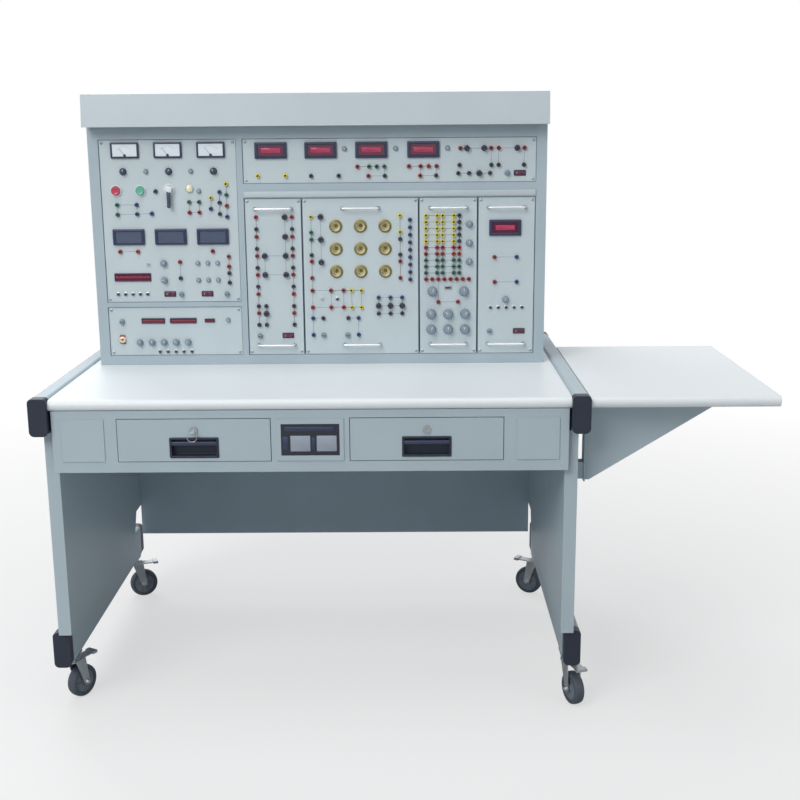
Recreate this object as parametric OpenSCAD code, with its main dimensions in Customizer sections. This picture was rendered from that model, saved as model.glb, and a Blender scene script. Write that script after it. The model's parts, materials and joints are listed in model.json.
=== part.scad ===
// Electrical and electronics teaching bench: a mobile desk with two drawers and a side shelf,
// and an instrument console with meters, four practical modules, sockets, knobs and switches.
// Millimetres, +Z up, front towards -Y. The origin is under the centre of the whole bench.

/* [Bench] */
// Width of the desk top between the side rails
desk_width = 1180; // [900:5:1800]
// Depth of the desk top, front to back
desk_depth = 850; // [650:5:1000]
// Height of the working surface above the floor
desk_height = 780; // [700:5:900]
// Thickness of the desk top
desk_thickness = 25; // [18:1:40]
// Depth of the drawer cabinet, front to back
cabinet_depth = 430; // [300:5:500]
// Height of the drawer cabinet under the desk top
cabinet_height = 144; // [120:1:200]
// Sheet thickness of the cabinet and the console
sheet = 2; // [1:0.5:4]

/* [Frame] */
// Width of a top rail
rail_width = 40; // [30:1:60]
// Height of a top rail
rail_height = 85; // [60:1:120]
// How far a top rail stands above the desk top
rail_rise = 5; // [0:1:15]
// Wall of the rail tubes
rail_wall = 3; // [2:0.5:5]
// Width of a foot rail
foot_width = 38; // [30:1:60]
// Height of a foot rail
foot_height = 87; // [60:1:120]
// Thickness of a side panel
side_thickness = 30; // [20:1:40]

/* [Drawers] */
// Width of a drawer front
drawer_width = 346; // [260:2:420]
// Height of a drawer front
drawer_height = 98; // [80:1:140]
// Thickness of a drawer front
drawer_front = 18; // [12:1:25]
// Depth of a drawer box behind its front
drawer_depth = 360; // [240:5:400]
// How far a drawer pulls out
drawer_travel = 300; // [150:10:350]
// Width of a flush pull
pull_width = 106; // [80:1:140]
// Height of a flush pull
pull_height = 42; // [30:1:60]

/* [Console] */
// Width of the console
console_width = 1140; // [950:5:1700]
// Height of the console above the desk top, under the canopy
console_height = 598; // [500:1:750]
// Depth of the console body
console_depth = 380; // [250:5:420]
// Distance from the desk front to the console face
console_setback = 420; // [300:5:500]
// Height of the canopy fascia
canopy_height = 78; // [50:1:120]
// How far the canopy stands in front of the console face
canopy_overhang = 48; // [20:1:120]
// Thickness of a panel plate
panel_thickness = 3; // [2:0.5:5]

/* [Side shelf] */
// Width of the side shelf
shelf_width = 425; // [250:5:600]
// Depth of the side shelf, front to back
shelf_depth = 640; // [400:5:800]
// Height of the shelf brackets below the shelf
bracket_height = 193; // [120:1:260]

/* [Casters] */
// Diameter of a caster wheel
wheel_diameter = 80; // [60:1:125]
// Width of a caster wheel
wheel_width = 26; // [18:1:40]
// Whole height of a caster
caster_height = 118; // [95:1:170]
// Trail of a caster, from the swivel axis to the axle
caster_trail = 30; // [15:1:45]

/* [Controls] */
// Diameter of a small socket head
socket_diameter = 10; // [8:0.5:12]
// Diameter of a large terminal head
terminal_diameter = 14; // [12:0.5:16]
// Diameter of the plug bore in a socket
plug_bore = 4; // [2:0.5:6]
// Width of a digital meter bezel
meter_width = 80; // [60:1:96]
// Height of a digital meter bezel
meter_height = 40; // [30:1:48]
// Diameter of a lamp holder
lamp_diameter = 33; // [24:1:40]
// Diameter of a large knob
knob_diameter = 26; // [18:1:32]
// Diameter of a push button plunger
button_diameter = 22; // [16:1:25]
// Diameter of a knob shaft
shaft_diameter = 6; // [4:0.5:8]

/* [Hidden] */
$fn = 48;

// Clearances
running = 0.05;      // radial, shaft in its bore
slip = 0.2;          // radial, fixed piece through a panel hole
moving_gap = 0.5;    // between bodies that pass each other
drawer_gap = 1.5;    // round a drawer front
cap_lip = 1;         // an end cap stands this much proud of its tube

// Desk
desk_bottom = desk_height - desk_thickness;
rail_top = desk_height + rail_rise;
rail_bottom = rail_top - rail_height;
rail_centre = desk_width / 2 + rail_width / 2;
rail_front = 18;
rail_length = desk_depth - 2 * rail_front;
cap_thickness = 26;
cap_round = 12;
tube_round = [6, 10];      // lower and upper corners of a top rail
tube_round_in = [3, 7];
foot_round = [4, 8];
foot_round_in = [1, 5];
foot_bottom = caster_height;
foot_top = foot_bottom + foot_height;
foot_front = 64;
foot_rear = desk_depth - 26;
foot_centre = rail_centre - 2;
side_centre = desk_width / 2 + 3;
side_inner = side_centre - side_thickness / 2;
side_front = 24;
side_step = [desk_depth - 110, foot_top + 75];
cabinet_bottom = desk_bottom - cabinet_height;
cabinet_front = 6;
cabinet_half = side_inner - 6;
fascia_half = desk_width / 2 - 6;
fascia = 3;

// Drawers, blank panels and nameplate on the cabinet fascia
drawer_x = drawer_width / 2 + 90;
drawer_z = desk_bottom - 20 - drawer_height / 2;
bay_wall = 2;
box_wall = 1.5;
runner_width = 20;
runner_height = 14;
box_width = drawer_width - 24;
box_height = drawer_height - 24;
bay_width = drawer_width - 2;
pull_z = drawer_z - 17;
pull_depth = drawer_front;
pull_flange = 2;
lock_z = drawer_z + 23;
lock_diameter = 14;
key_bow = 16;
key_ring = 22;
key_front = cabinet_front - 30;
blank_width = 97;
blank_x = fascia_half - 21 - blank_width / 2;
plate_width = 132;
plate_height = 73;

// Console
console_front = console_setback;
console_half = console_width / 2;
console_top = desk_height + console_height;
canopy_top = console_top + canopy_height;
frame_side = 26;
frame_bottom = 24;
frame_top = 30;
frame_thick = 18;
rebate = 1;          // depth of the rebate that locates the console on the desk top
rebate_gap = 1;
panel_inset = 3;
panel_ledge = 6;
panel_y = console_front + panel_inset;
inner_left = -(console_half - frame_side);
inner_right = console_half - frame_side;
inner_bottom = desk_height + frame_bottom;
inner_top = console_top - frame_top;

// The control layout below is the layout of the standard console, whose opening is 1088 by 544.
// It stretches with the opening, so that the panels and what is on them always agree.
standard_width = 1088;
standard_height = 544;
standard_base = 24;
stretch_x = (inner_right - inner_left) / standard_width;
stretch_z = (inner_top - inner_bottom) / standard_height;
function face_x(x) = x * stretch_x;
function face_z(z) = inner_bottom + (z - standard_base) * stretch_z;
function along(xs, z) = [for (x = xs) [x, z]];
function down(x, zs) = [for (z = zs) [x, z]];
function grid(xs, zs) = [for (z = zs) for (x = xs) [x, z]];
function inside(list, box) = [for (p = list)
    if (p[0] > box[0] && p[0] < box[1] && p[1] > box[2] && p[1] < box[3]) p];

// Panel outlines on the standard console: left, right, bottom, top
power_box = [-544, -202, 162, 568];
signal_box = [-544, -202, 24, 150];
meter_box = [-187, 544, 458, 568];
module_gap = 2;
module_bottom = 24;
module_top = 422;
module_edges = [-187, -43, 251, 399, 544];
function module_box(i) = [module_edges[i], module_edges[i + 1], module_bottom, module_top];
module_row = [module_edges[0], module_edges[4], module_bottom, module_top];

// Meters, centre places
analog_size = [70, 39];
analog_places = along([-479, -372, -265], 542);
digital_places = concat(along([-480, -374, -268], 328), along([-116, 8, 134, 263], 539),
    [[468, 345]]);
meter_bezel = 6;
meter_case = 60;
meter_rim = 3;

// Sockets by colour, on the standard console
rows_module_one = [375, 326, 278, 230, 181, 132];
rows_module_one_low = [345, 296, 248, 200, 150, 102];
rows_module_three = [for (i = [0:9]) 376 - i * 16];
columns_module_three = [269, 297, 311, 339, 353];
red_places = concat(along([-324, -299], 388), [[-230, 404]], along([-504, -459], 291),
    [[-270, 291], [-354, 264], [-230, 277], [-230, 252]],
    along([99, 227, 256, 276, 296], 498), along([126, 255], 475),
    along([355, 431, 450, 514], 541), down(-158, rows_module_one), down(-68, rows_module_one),
    down(-20, [263, 221, 189, 146]), grid([27, 59], [189, 146]), down(204, [262, 220]),
    grid(columns_module_three, [rows_module_three[5], rows_module_three[6]]),
    along([for (i = [0:7]) 269 + i * 15.5], 216), along([300, 350], 158),
    [[442, 271], [443, 208]]);
black_places = concat([[-248, 412], [-248, 384], [-407, 441], [-354, 223], [-230, 235],
    [-230, 211]], along([-17, 52], 476), along([167, 295], 475),
    along([353, 432, 450, 513], 500), along([350, 377, 429], 480),
    down(-158, rows_module_one_low), down(-68, rows_module_one_low),
    down(-139, [150, 102]), [[-20, 279], [6, 118], [70, 118]], down(204, [318, 279]),
    down(353, [for (i = [0:4]) rows_module_three[i]]), along([148, 178, 208], 129));
yellow_places = concat([[-230, 458], [-269, 424]], along([-150, -81], 477), [[-20, 375]],
    down(204, [377, 336]), [[79, 189], [104, 189], [104, 146], [80, 146]],
    grid([269, 297, 311, 339], [for (i = [0:4]) rows_module_three[i]]));
green_places = concat(down(-505, [408, 384]), along([-324, -299], 414), [[-230, 431]],
    along([128, 147, 166], 498), [[-20, 336], [-20, 318]],
    grid(columns_module_three, [for (i = [7:9]) rows_module_three[i]]));
blue_places = concat(down(-456, [408, 385]), [[-247, 438], [-230, 377], [-270, 397],
    [-419, 386]], [[-20, 118], [-20, 75]], along([96], 118), [[96, 75]],
    down(229, [for (i = [0:8]) 366 - i * 18.75]), along([148, 178, 208], 170),
    along([498], 271), [[499, 208]]);
terminal_places = concat(along([371, 414, 496], 541), [[402, 480]], down(-139, [278, 230, 131]),
    down(-86, [375, 326, 278, 230]), down(4, [375, 318, 261]), along([148, 178, 208], 149));
socket_places = concat(red_places, black_places, yellow_places, green_places, blue_places);

// Lamp holders, fuses, knobs and small controls
lamp_places = grid([42, 104, 166], [351, 294, 237]);
fuse_places = [[-510, 112], [-354, 182], [-238, 182], [472, 480], [-157, 73], [6, 74], [68, 74],
    [431, 82]];
rocker_places = [[-383, 183], [-288, 183], [503, 480], [-85, 74], [506, 82]];
resistor_places = concat(along([285, 365], 185), grid([282, 325, 368], [127, 87]));
pointer_places = concat(along([-486, -372, -260], 490), [[-396, 261], [-396, 218]],
    down(378, [354, 307, 260]), along([for (i = [0:4]) -467 + i * 31], 58), [[471, 163]]);
trimmer_places = concat(grid([-309, -284, -259], [261, 218]), along([-429, -317], 490),
    along([67, 194, 323], 542), [[-299, 441], [-238, 115]]);
press_places = concat(along([for (i = [0:4]) -515 + i * 18.75], 183),
    along([for (i = [0:4]) -416 + i * 20.5], 34), along([for (i = [0:4]) 433 + i * 20], 143),
    [[43, 167]]);
toggle_places = [[-435, 259], [3, 169]];
stop_place = [-506, 443];
start_place = [-445, 443];
key_place = [-373, 446];
beacon_place = [-322, 447];
signal_rocker_place = [-511, 66];
slide_switch_place = [325, 194];
bar_places = [[-476, 226, 93, 21], [-430, 114, 60, 14], [-353, 114, 68, 14],
    [-285, 114, 26, 10]];

// Piece sizes behind and in front of the panels
socket_proud = 7;
socket_shank = 7;
socket_tail = 16;
terminal_proud = 10;
fuse_head = 12;
fuse_shank = 9;
rocker_size = [30, 14];
pointer_diameter = 18;
trimmer_diameter = 11;
press_diameter = 9;
bezel_wall = 3.5;
button_travel = 4;
button_stem = 14;
rocker_radius = 11;
rocker_width = 13;
rocker_frame = 3;
rocker_tilt = 12;
key_diameter = 20;
handle_rod = 5;
handle_span = 92;
handle_height = 16;
handle_margin = 26;
screw_diameter = 6;
screw_proud = 2;

// Side shelf
bracket_left = rail_centre + rail_width / 2;
shelf_left = bracket_left + cap_lip;
shelf_thickness = desk_thickness;
shelf_top = desk_height;
flange = 3;
bracket_reach = 0.72 * shelf_width;
bracket_front = 96;
bracket_rear = shelf_depth - 96;
shelf_y = 0;

// Casters: side (-1 left, 1 right), distance behind the desk front, and swivel of the trail
caster_front_y = foot_front + 44;
caster_rear_y = foot_rear - 44;
caster_plate = 3;
caster_plate_size = [foot_width, 66];
king_pin = 10;
king_head = 16;
axle_diameter = 8;
fork_sheet = 3;
fork_clear = 2;
race_diameter = 36;
axle_height = wheel_diameter / 2;
crown_bottom = caster_height - caster_plate - 14;

// Whole extent, which sets the origin
reach_left = -(rail_centre + rail_width / 2 + cap_lip);
reach_right = shelf_left + shelf_width;
cap_front = rail_front - cap_thickness;
reach_front = min(cap_front, key_front);
reach_rear = desk_depth - rail_front + cap_thickness;
origin = [(reach_left + reach_right) / 2, (reach_front + reach_rear) / 2];

// Colours
paint = [0.71, 0.76, 0.80];
panel_paint = [0.80, 0.85, 0.88];
board = [0.88, 0.91, 0.93];
dark_cap = [0.12, 0.15, 0.22];
dark = [0.10, 0.11, 0.14];
zinc = [0.66, 0.68, 0.70];
rubber = [0.33, 0.36, 0.40];

// Puts bench places, measured from the middle of the desk front, in the shared frame
module bench() {
    translate([-origin[0], -origin[1], 0]) children();
}

module both_sides() {
    children();
    mirror([1, 0, 0]) children();
}

// Puts a child on the panels: its z axis points out of the panel, towards the user
module on_face(place) {
    translate([face_x(place[0]), panel_y, face_z(place[1])]) rotate([90, 0, 0]) children();
}

// A bar with two rounded lower corners, seen from the front, running back along +Y
module rail_outline(width, height, rounds) {
    round_low = rounds[0];
    round_high = rounds[1];
    translate([-width / 2 + round_low, 0]) square([width - 2 * round_low, height - round_high]);
    translate([-width / 2, round_low]) square([width, height - round_low - round_high]);
    translate([-width / 2 + round_high, round_low])
        square([width - 2 * round_high, height - round_low]);
    for (x = [-1, 1]) {
        translate([x * (width / 2 - round_low), round_low]) circle(r = round_low);
        translate([x * (width / 2 - round_high), height - round_high]) circle(r = round_high);
    }
}

module run_back(length) {
    rotate([90, 0, 0]) mirror([0, 0, 1]) linear_extrude(length) children();
}

// Frame

module side_panels() {
    color(paint) bench() both_sides()
        translate([side_inner, 0, 0]) rotate([90, 0, 90]) linear_extrude(side_thickness)
            polygon([[foot_front, foot_top], [foot_front, foot_top + cap_lip + slip],
                [side_front, foot_top + cap_lip + slip], [side_front, rail_bottom],
                [desk_depth - 30, rail_bottom], [desk_depth - 30, side_step[1]],
                [side_step[0], side_step[1]], [side_step[0] - 40, foot_top]]);
}

module top_rails() {
    color(paint) bench() both_sides()
        translate([rail_centre, rail_front, rail_bottom]) difference() {
            run_back(rail_length) rail_outline(rail_width, rail_height, tube_round);
            translate([0, -1, rail_wall]) run_back(rail_length + 2) rail_outline(
                rail_width - 2 * rail_wall, rail_height - 2 * rail_wall, tube_round_in);
        }
}

module foot_rails() {
    color(paint) bench() both_sides()
        translate([foot_centre, foot_front, foot_bottom]) difference() {
            run_back(foot_rear - foot_front)
                rail_outline(foot_width, foot_height, foot_round);
            translate([0, -1, rail_wall]) run_back(foot_rear - foot_front + 2) rail_outline(
                foot_width - 2 * rail_wall, foot_height - 2 * rail_wall, foot_round_in);
        }
}

// One moulded cap: a face outside the tube and a plug inside it
module end_cap(width, height, plug_round) {
    run_back(cap_thickness)
        rail_outline(width + 2 * cap_lip, height + 2 * cap_lip, [cap_round, 10]);
    translate([0, cap_thickness, cap_lip + rail_wall + slip]) run_back(12) rail_outline(
        width - 2 * (rail_wall + slip), height - 2 * (rail_wall + slip), plug_round);
}

module end_caps() {
    color(dark_cap) bench() both_sides() {
        translate([rail_centre, cap_front, rail_bottom - cap_lip])
            end_cap(rail_width, rail_height, tube_round_in);
        translate([rail_centre, reach_rear, rail_bottom - cap_lip]) mirror([0, 1, 0])
            end_cap(rail_width, rail_height, tube_round_in);
        translate([foot_centre, foot_front - cap_thickness, foot_bottom - cap_lip])
            end_cap(foot_width, foot_height, foot_round_in);
        translate([foot_centre, foot_rear + cap_thickness, foot_bottom - cap_lip])
            mirror([0, 1, 0]) end_cap(foot_width, foot_height, foot_round_in);
    }
}

// Board with a half-round nose along its front edge
module nosed_board(width, depth, thick) {
    nose = thick / 2;
    translate([-width / 2, nose, 0]) cube([width, depth - nose, thick]);
    translate([-width / 2, nose, nose]) rotate([0, 90, 0]) cylinder(r = nose, h = width);
}

// The desk top has a shallow rebate, open at the back, in which the console stands
module desk_top() {
    color(board) bench() difference() {
        translate([0, 0, desk_bottom]) nosed_board(desk_width, desk_depth, desk_thickness);
        translate([-console_half - rebate_gap, console_front - rebate_gap, desk_height - rebate])
            cube([console_width + 2 * rebate_gap, desk_depth, rebate + 1]);
        // corner notches for the lips of the end caps
        both_sides() for (y = [-1, desk_depth - rail_front - slip])
            translate([desk_width / 2 - cap_lip - slip, y, desk_bottom - 1])
                cube([cap_lip + slip + 1, rail_front + slip + 1, desk_thickness + 2]);
    }
}

module modesty_panel() {
    color(paint) bench() translate([-side_inner, desk_depth - 48, foot_top - 15])
        cube([2 * side_inner, 18, desk_bottom - foot_top + 15]);
}

// Drawer cabinet: a fascia with two drawer openings and a sheet box with two bays behind it

module drawer_cabinet() {
    box_front = cabinet_front + fascia;
    color(paint) bench() {
        difference() {
            translate([-fascia_half, cabinet_front, cabinet_bottom])
                cube([2 * fascia_half, fascia, cabinet_height]);
            both_sides() translate([drawer_x - drawer_width / 2 - drawer_gap, 0,
                    drawer_z - drawer_height / 2 - drawer_gap])
                cube([drawer_width + 2 * drawer_gap, 30, drawer_height + 2 * drawer_gap]);
        }
        translate([-cabinet_half, box_front, cabinet_bottom])
            cube([2 * cabinet_half, cabinet_depth - fascia, sheet]);
        translate([-cabinet_half, box_front + cabinet_depth - fascia - sheet,
                cabinet_bottom + sheet])
            cube([2 * cabinet_half, sheet, cabinet_height - sheet]);
        both_sides() {
            translate([cabinet_half - sheet, box_front, cabinet_bottom + sheet])
                cube([sheet, cabinet_depth - fascia - sheet, cabinet_height - sheet]);
            // bay walls and the runners that the drawer box rests on
            for (edge = [-1, 1]) translate([drawer_x + edge * (drawer_width / 2 + drawer_gap
                    + bay_wall / 2) - bay_wall / 2, box_front, cabinet_bottom + sheet])
                cube([bay_wall, cabinet_depth - fascia - sheet, cabinet_height - sheet]);
            for (edge = [-1, 1]) translate([drawer_x + edge * (drawer_width / 2 + drawer_gap
                    - runner_width / 2) - runner_width / 2, box_front + drawer_front + 4,
                    drawer_z - box_height / 2 - moving_gap - runner_height])
                cube([runner_width, drawer_depth - 20, runner_height]);
        }
    }
}

module blank_panels() {
    color(panel_paint) bench() {
        both_sides() translate([blank_x - blank_width / 2, cabinet_front - 2,
                drawer_z - drawer_height / 2])
            cube([blank_width, 2, drawer_height]);
        // raised frame round the nameplate
        translate([-plate_width / 2 - 10, cabinet_front - 2, drawer_z - drawer_height / 2])
            difference() {
                cube([plate_width + 20, 2, drawer_height]);
                translate([10 - slip, -1, (drawer_height - plate_height) / 2 - slip])
                    cube([plate_width + 2 * slip, 4, plate_height + 2 * slip]);
            }
    }
}

module nameplate() {
    color(dark) bench()
        translate([-plate_width / 2, cabinet_front - 1.5, drawer_z - plate_height / 2])
            cube([plate_width, 1.5, plate_height]);
}

// Drawers, drawn closed; side is -1 for the left one

module drawer(side) {
    front_y = cabinet_front - 1;
    difference() {
        union() {
            translate([-drawer_width / 2, front_y, -drawer_height / 2])
                cube([drawer_width, drawer_front, drawer_height]);
            translate([-box_width / 2, front_y + drawer_front, -box_height / 2]) difference() {
                cube([box_width, drawer_depth, box_height]);
                translate([box_wall, -1, box_wall])
                    cube([box_width - 2 * box_wall, drawer_depth + 1 - box_wall, box_height]);
            }
        }
        // opening for the flush pull and bore for the lock
        translate([-pull_width / 2 - slip, front_y - 1, pull_z - drawer_z - pull_height / 2
                - slip])
            cube([pull_width + 2 * slip, drawer_front + 2, pull_height + 2 * slip]);
        translate([0, front_y - 1, lock_z - drawer_z]) rotate([-90, 0, 0])
            cylinder(d = lock_diameter + 2 * running, h = drawer_front + 2);
    }
}

module left_drawer() {
    color(panel_paint) bench() translate([-drawer_x, 0, drawer_z]) drawer();
}

module right_drawer() {
    color(panel_paint) bench() translate([drawer_x, 0, drawer_z]) drawer();
}

// Flush pull: a flanged cup with a finger bar across its mouth
module flush_pull() {
    front_y = cabinet_front - 1;
    wall = 2;
    translate([0, front_y, 0]) {
        difference() {
            union() {
                translate([-pull_width / 2 - 3, -pull_flange, -pull_height / 2 - 3])
                    cube([pull_width + 6, pull_flange, pull_height + 6]);
                translate([-pull_width / 2, 0, -pull_height / 2])
                    cube([pull_width, pull_depth, pull_height]);
            }
            translate([-pull_width / 2 + wall, -pull_flange - 1, -pull_height / 2 + wall])
                cube([pull_width - 2 * wall, pull_flange + 1 + pull_depth - wall,
                    pull_height - 2 * wall]);
        }
        translate([-pull_width / 2 + wall, -pull_flange, pull_height / 2 - wall - 14])
            cube([pull_width - 2 * wall, 3, 9]);
    }
}

module left_pull() {
    color(dark_cap) bench() translate([-drawer_x, 0, pull_z]) flush_pull();
}

module right_pull() {
    color(dark_cap) bench() translate([drawer_x, 0, pull_z]) flush_pull();
}

// Lock plug that turns in the drawer front, with a flange over the bore and a cam behind
module lock_plug() {
    front_y = cabinet_front - 1;
    translate([0, front_y - moving_gap, 0]) rotate([-90, 0, 0])
        cylinder(d = lock_diameter, h = drawer_front + 2 * moving_gap);
    translate([0, front_y - moving_gap, 0]) rotate([90, 0, 0]) difference() {
        cylinder(d = lock_diameter + 5, h = 2.5);
        translate([-4, -0.6, 1]) cube([8, 1.2, 3]);
    }
    translate([0, front_y + drawer_front + moving_gap, 0]) rotate([-90, 0, 0])
        cylinder(d = lock_diameter + 3, h = 2);
}

module left_lock() {
    front_y = cabinet_front - 1;
    color(zinc) bench() translate([-drawer_x, 0, lock_z]) {
        lock_plug();
        // key blade, round bow and the ring that hangs from it
        translate([-3, key_front + key_bow - 3, -0.5])
            cube([6, front_y - key_front - key_bow + 1.5, 1]);
        translate([0, key_front + key_bow / 2, -0.8]) difference() {
            cylinder(d = key_bow, h = 1.6);
            cylinder(d = 5, h = 6, center = true);
        }
        translate([0, key_front + 4.6, 1.7 - key_ring / 2]) rotate([90, 0, 0])
            rotate_extrude() translate([key_ring / 2, 0]) circle(d = 1.6, $fn = 16);
    }
}

module right_lock() {
    color(zinc) bench() translate([drawer_x, 0, lock_z]) lock_plug();
}

// Console

module console_shell() {
    shell_front = console_front + frame_thick;
    vent_count = 14;
    color(paint) bench() difference() {
        translate([-console_half, shell_front, desk_height - rebate])
            cube([console_width, console_depth - frame_thick, console_height + rebate]);
        translate([-console_half + sheet, shell_front - 1, desk_height - rebate + sheet])
            cube([console_width - 2 * sheet, console_depth - frame_thick - sheet + 1,
                console_height + rebate - 2 * sheet]);
        // two rows of vent slots in the back
        for (row = [0.3, 0.7]) for (i = [0:vent_count - 1])
            translate([console_half * (2 * (i + 0.5) / vent_count - 1) - 3,
                    shell_front + console_depth - frame_thick - sheet - 1,
                    desk_height + console_height * row - 35])
                cube([6, sheet + 2, 70]);
    }
}

module opening(box, shrink, depth) {
    x0 = face_x(box[0]);
    x1 = face_x(box[1]);
    z0 = face_z(box[2]);
    z1 = face_z(box[3]);
    translate([x0 + shrink, 0, z0 + shrink])
        cube([x1 - x0 - 2 * shrink, depth, z1 - z0 - 2 * shrink]);
}

module console_frame() {
    boxes = [power_box, signal_box, meter_box, module_row];
    color(paint) bench() difference() {
        translate([-console_half, console_front, desk_height - rebate])
            cube([console_width, frame_thick, console_height + rebate]);
        for (box = boxes) {
            // the seat for the panel, and the smaller opening behind it
            translate([0, console_front - 1, 0])
                opening(box, 0, panel_inset + panel_thickness + 1);
            translate([0, console_front, 0]) opening(box, panel_ledge, frame_thick + 1);
        }
    }
}

// Folded sheet cover over the console, with a drip groove below and a cooling slot at the back
module canopy() {
    front = console_front - canopy_overhang;
    back = console_front + console_depth;
    lean = 8;
    lip = console_front - 14;
    color(panel_paint) bench() difference() {
        translate([-console_half, 0, 0]) rotate([90, 0, 90]) linear_extrude(console_width)
            polygon([[front, console_top], [lip, console_top], [lip, console_top + 12],
                [console_front, console_top + 12], [console_front, console_top],
                [back, console_top], [back, canopy_top], [front + lean, canopy_top]]);
        translate([-console_half + sheet, 0, 0]) rotate([90, 0, 90])
            linear_extrude(console_width - 2 * sheet)
            polygon([[front + sheet + 0.5, console_top + sheet],
                [lip - sheet, console_top + sheet], [lip - sheet, console_top + 12 + sheet],
                [console_front + sheet, console_top + 12 + sheet],
                [console_front + sheet, console_top + sheet], [back - sheet, console_top + sheet],
                [back - sheet, canopy_top - sheet],
                [front + lean + sheet + 0.5, canopy_top - sheet]]);
        translate([-console_half * 0.8, back - sheet - 1, console_top + canopy_height * 0.35])
            cube([console_width * 0.8, sheet + 2, canopy_height * 0.3]);
    }
}

// One panel plate with its holes
module panel(box) {
    x0 = face_x(box[0]);
    x1 = face_x(box[1]);
    z0 = face_z(box[2]);
    z1 = face_z(box[3]);
    difference() {
        translate([x0, panel_y, z0]) cube([x1 - x0, panel_thickness, z1 - z0]);
        panel_holes(box);
    }
}

// A module plate leaves a gap to its neighbours
module module_panel(index) {
    box = module_box(index);
    trim = [box[0] + module_gap / 2, box[1] - module_gap / 2, box[2], box[3]];
    panel(trim);
}

module round_hole(place, diameter) {
    on_face(place) translate([0, 0, -panel_thickness - 1])
        cylinder(d = diameter, h = panel_thickness + 2);
}

module square_hole(place, width, height) {
    on_face(place) translate([-width / 2, -height / 2, -panel_thickness - 1])
        cube([width, height, panel_thickness + 2]);
}

module panel_holes(box) {
    for (p = inside(concat(socket_places, terminal_places), box))
        round_hole(p, socket_shank + 2 * slip);
    for (p = inside(lamp_places, box)) round_hole(p, lamp_diameter - 8 + 2 * slip);
    for (p = inside(fuse_places, box)) round_hole(p, fuse_shank + 2 * slip);
    for (p = inside(resistor_places, box)) round_hole(p, shaft_diameter + 2 * running);
    for (p = inside(digital_places, box))
        square_hole(p, meter_width - 2 * meter_rim + 2 * slip,
            meter_height - 2 * meter_rim + 2 * slip);
    for (p = inside(analog_places, box))
        square_hole(p, analog_size[0] - 2 * meter_rim + 2 * slip,
            analog_size[1] - 2 * meter_rim + 2 * slip);
    for (p = inside([stop_place, start_place], box))
        round_hole(p, button_diameter + 2 * moving_gap);
    for (p = inside([key_place], box)) round_hole(p, key_diameter + 2 * moving_gap);
    for (p = inside([signal_rocker_place], box))
        square_hole(p, rocker_width + 2 * moving_gap, 2 * (rocker_radius + moving_gap));
}

module power_panel() {
    color(panel_paint) bench() panel(power_box);
}

module signal_panel() {
    color(panel_paint) bench() panel(signal_box);
}

module meter_panel() {
    color(panel_paint) bench() panel(meter_box);
}

module module_one() {
    color(panel_paint) bench() module_panel(0);
}

module module_two() {
    color(panel_paint) bench() module_panel(1);
}

module module_three() {
    color(panel_paint) bench() module_panel(2);
}

module module_four() {
    color(panel_paint) bench() module_panel(3);
}

// Bar handles across the top and the bottom of each module
module module_handles() {
    color(zinc) bench() for (i = [0:3]) for (end = [0, 1]) {
        centre = [(module_edges[i] + module_edges[i + 1]) / 2,
            end == 0 ? module_bottom + handle_margin : module_top - handle_margin];
        on_face(centre) {
            for (x = [-1, 1]) translate([x * handle_span / 2, 0, 0])
                cylinder(d = handle_rod + 2, h = handle_height);
            translate([-handle_span / 2 - 1, 0, handle_height]) rotate([0, 90, 0])
                cylinder(d = handle_rod, h = handle_span + 2);
        }
    }
}

// Sockets: a head on the panel and a shank through it, with a blind bore for a 4 mm plug
module socket(head, proud) {
    difference() {
        union() {
            cylinder(d = head, h = proud);
            translate([0, 0, -socket_tail]) cylinder(d = socket_shank, h = socket_tail);
        }
        translate([0, 0, 2 - socket_tail])
            cylinder(d = plug_bore, h = socket_tail + proud);
    }
}

module sockets(places) {
    for (p = places) on_face(p) socket(socket_diameter, socket_proud);
}

module red_sockets() {
    color([0.62, 0.10, 0.12]) bench() sockets(red_places);
}

module black_sockets() {
    color(dark) bench() {
        sockets(black_places);
        for (p = terminal_places) on_face(p) socket(terminal_diameter, terminal_proud);
    }
}

module yellow_sockets() {
    color([0.85, 0.78, 0.16]) bench() sockets(yellow_places);
}

module green_sockets() {
    color([0.13, 0.42, 0.24]) bench() sockets(green_places);
}

module blue_sockets() {
    color([0.17, 0.30, 0.58]) bench() sockets(blue_places);
}

// Lamp holder: a shell with a flange, open at the front and closed at the back
module lamp_holders() {
    shell_r = lamp_diameter / 2 - 4;
    color([0.72, 0.58, 0.25]) bench() for (p = lamp_places) on_face(p) {
        rotate_extrude() polygon([[shell_r - 1.5, -18], [shell_r, -18], [shell_r, 0],
            [lamp_diameter / 2, 0], [lamp_diameter / 2, 3], [shell_r + 1.5, 6],
            [shell_r - 1.5, 6]]);
        translate([0, 0, -18]) cylinder(r = shell_r - 1.5, h = 2);
    }
}

// Meters: a bezel on the panel, a recessed window and a case behind
module meter(width, height) {
    difference() {
        union() {
            translate([-width / 2, -height / 2, 0]) cube([width, height, meter_bezel]);
            translate([-width / 2 + meter_rim, -height / 2 + meter_rim, -meter_case])
                cube([width - 2 * meter_rim, height - 2 * meter_rim, meter_case]);
        }
        translate([-width / 2 + 5, -height / 2 + 5, meter_bezel - 2.5])
            cube([width - 10, height - 10, 4]);
    }
}

module analog_meters() {
    color([0.80, 0.84, 0.88]) bench()
        for (p = analog_places) on_face(p) meter(analog_size[0], analog_size[1]);
}

module digital_meters() {
    color([0.16, 0.10, 0.16]) bench() {
        for (p = digital_places) on_face(p) meter(meter_width, meter_height);
        // bar displays stretch with the layout, as they stand side by side
        for (p = bar_places) on_face(p) translate([-p[2] * stretch_x / 2, -p[3] / 2, 0])
            cube([p[2] * stretch_x, p[3], 3]);
    }
}

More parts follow.
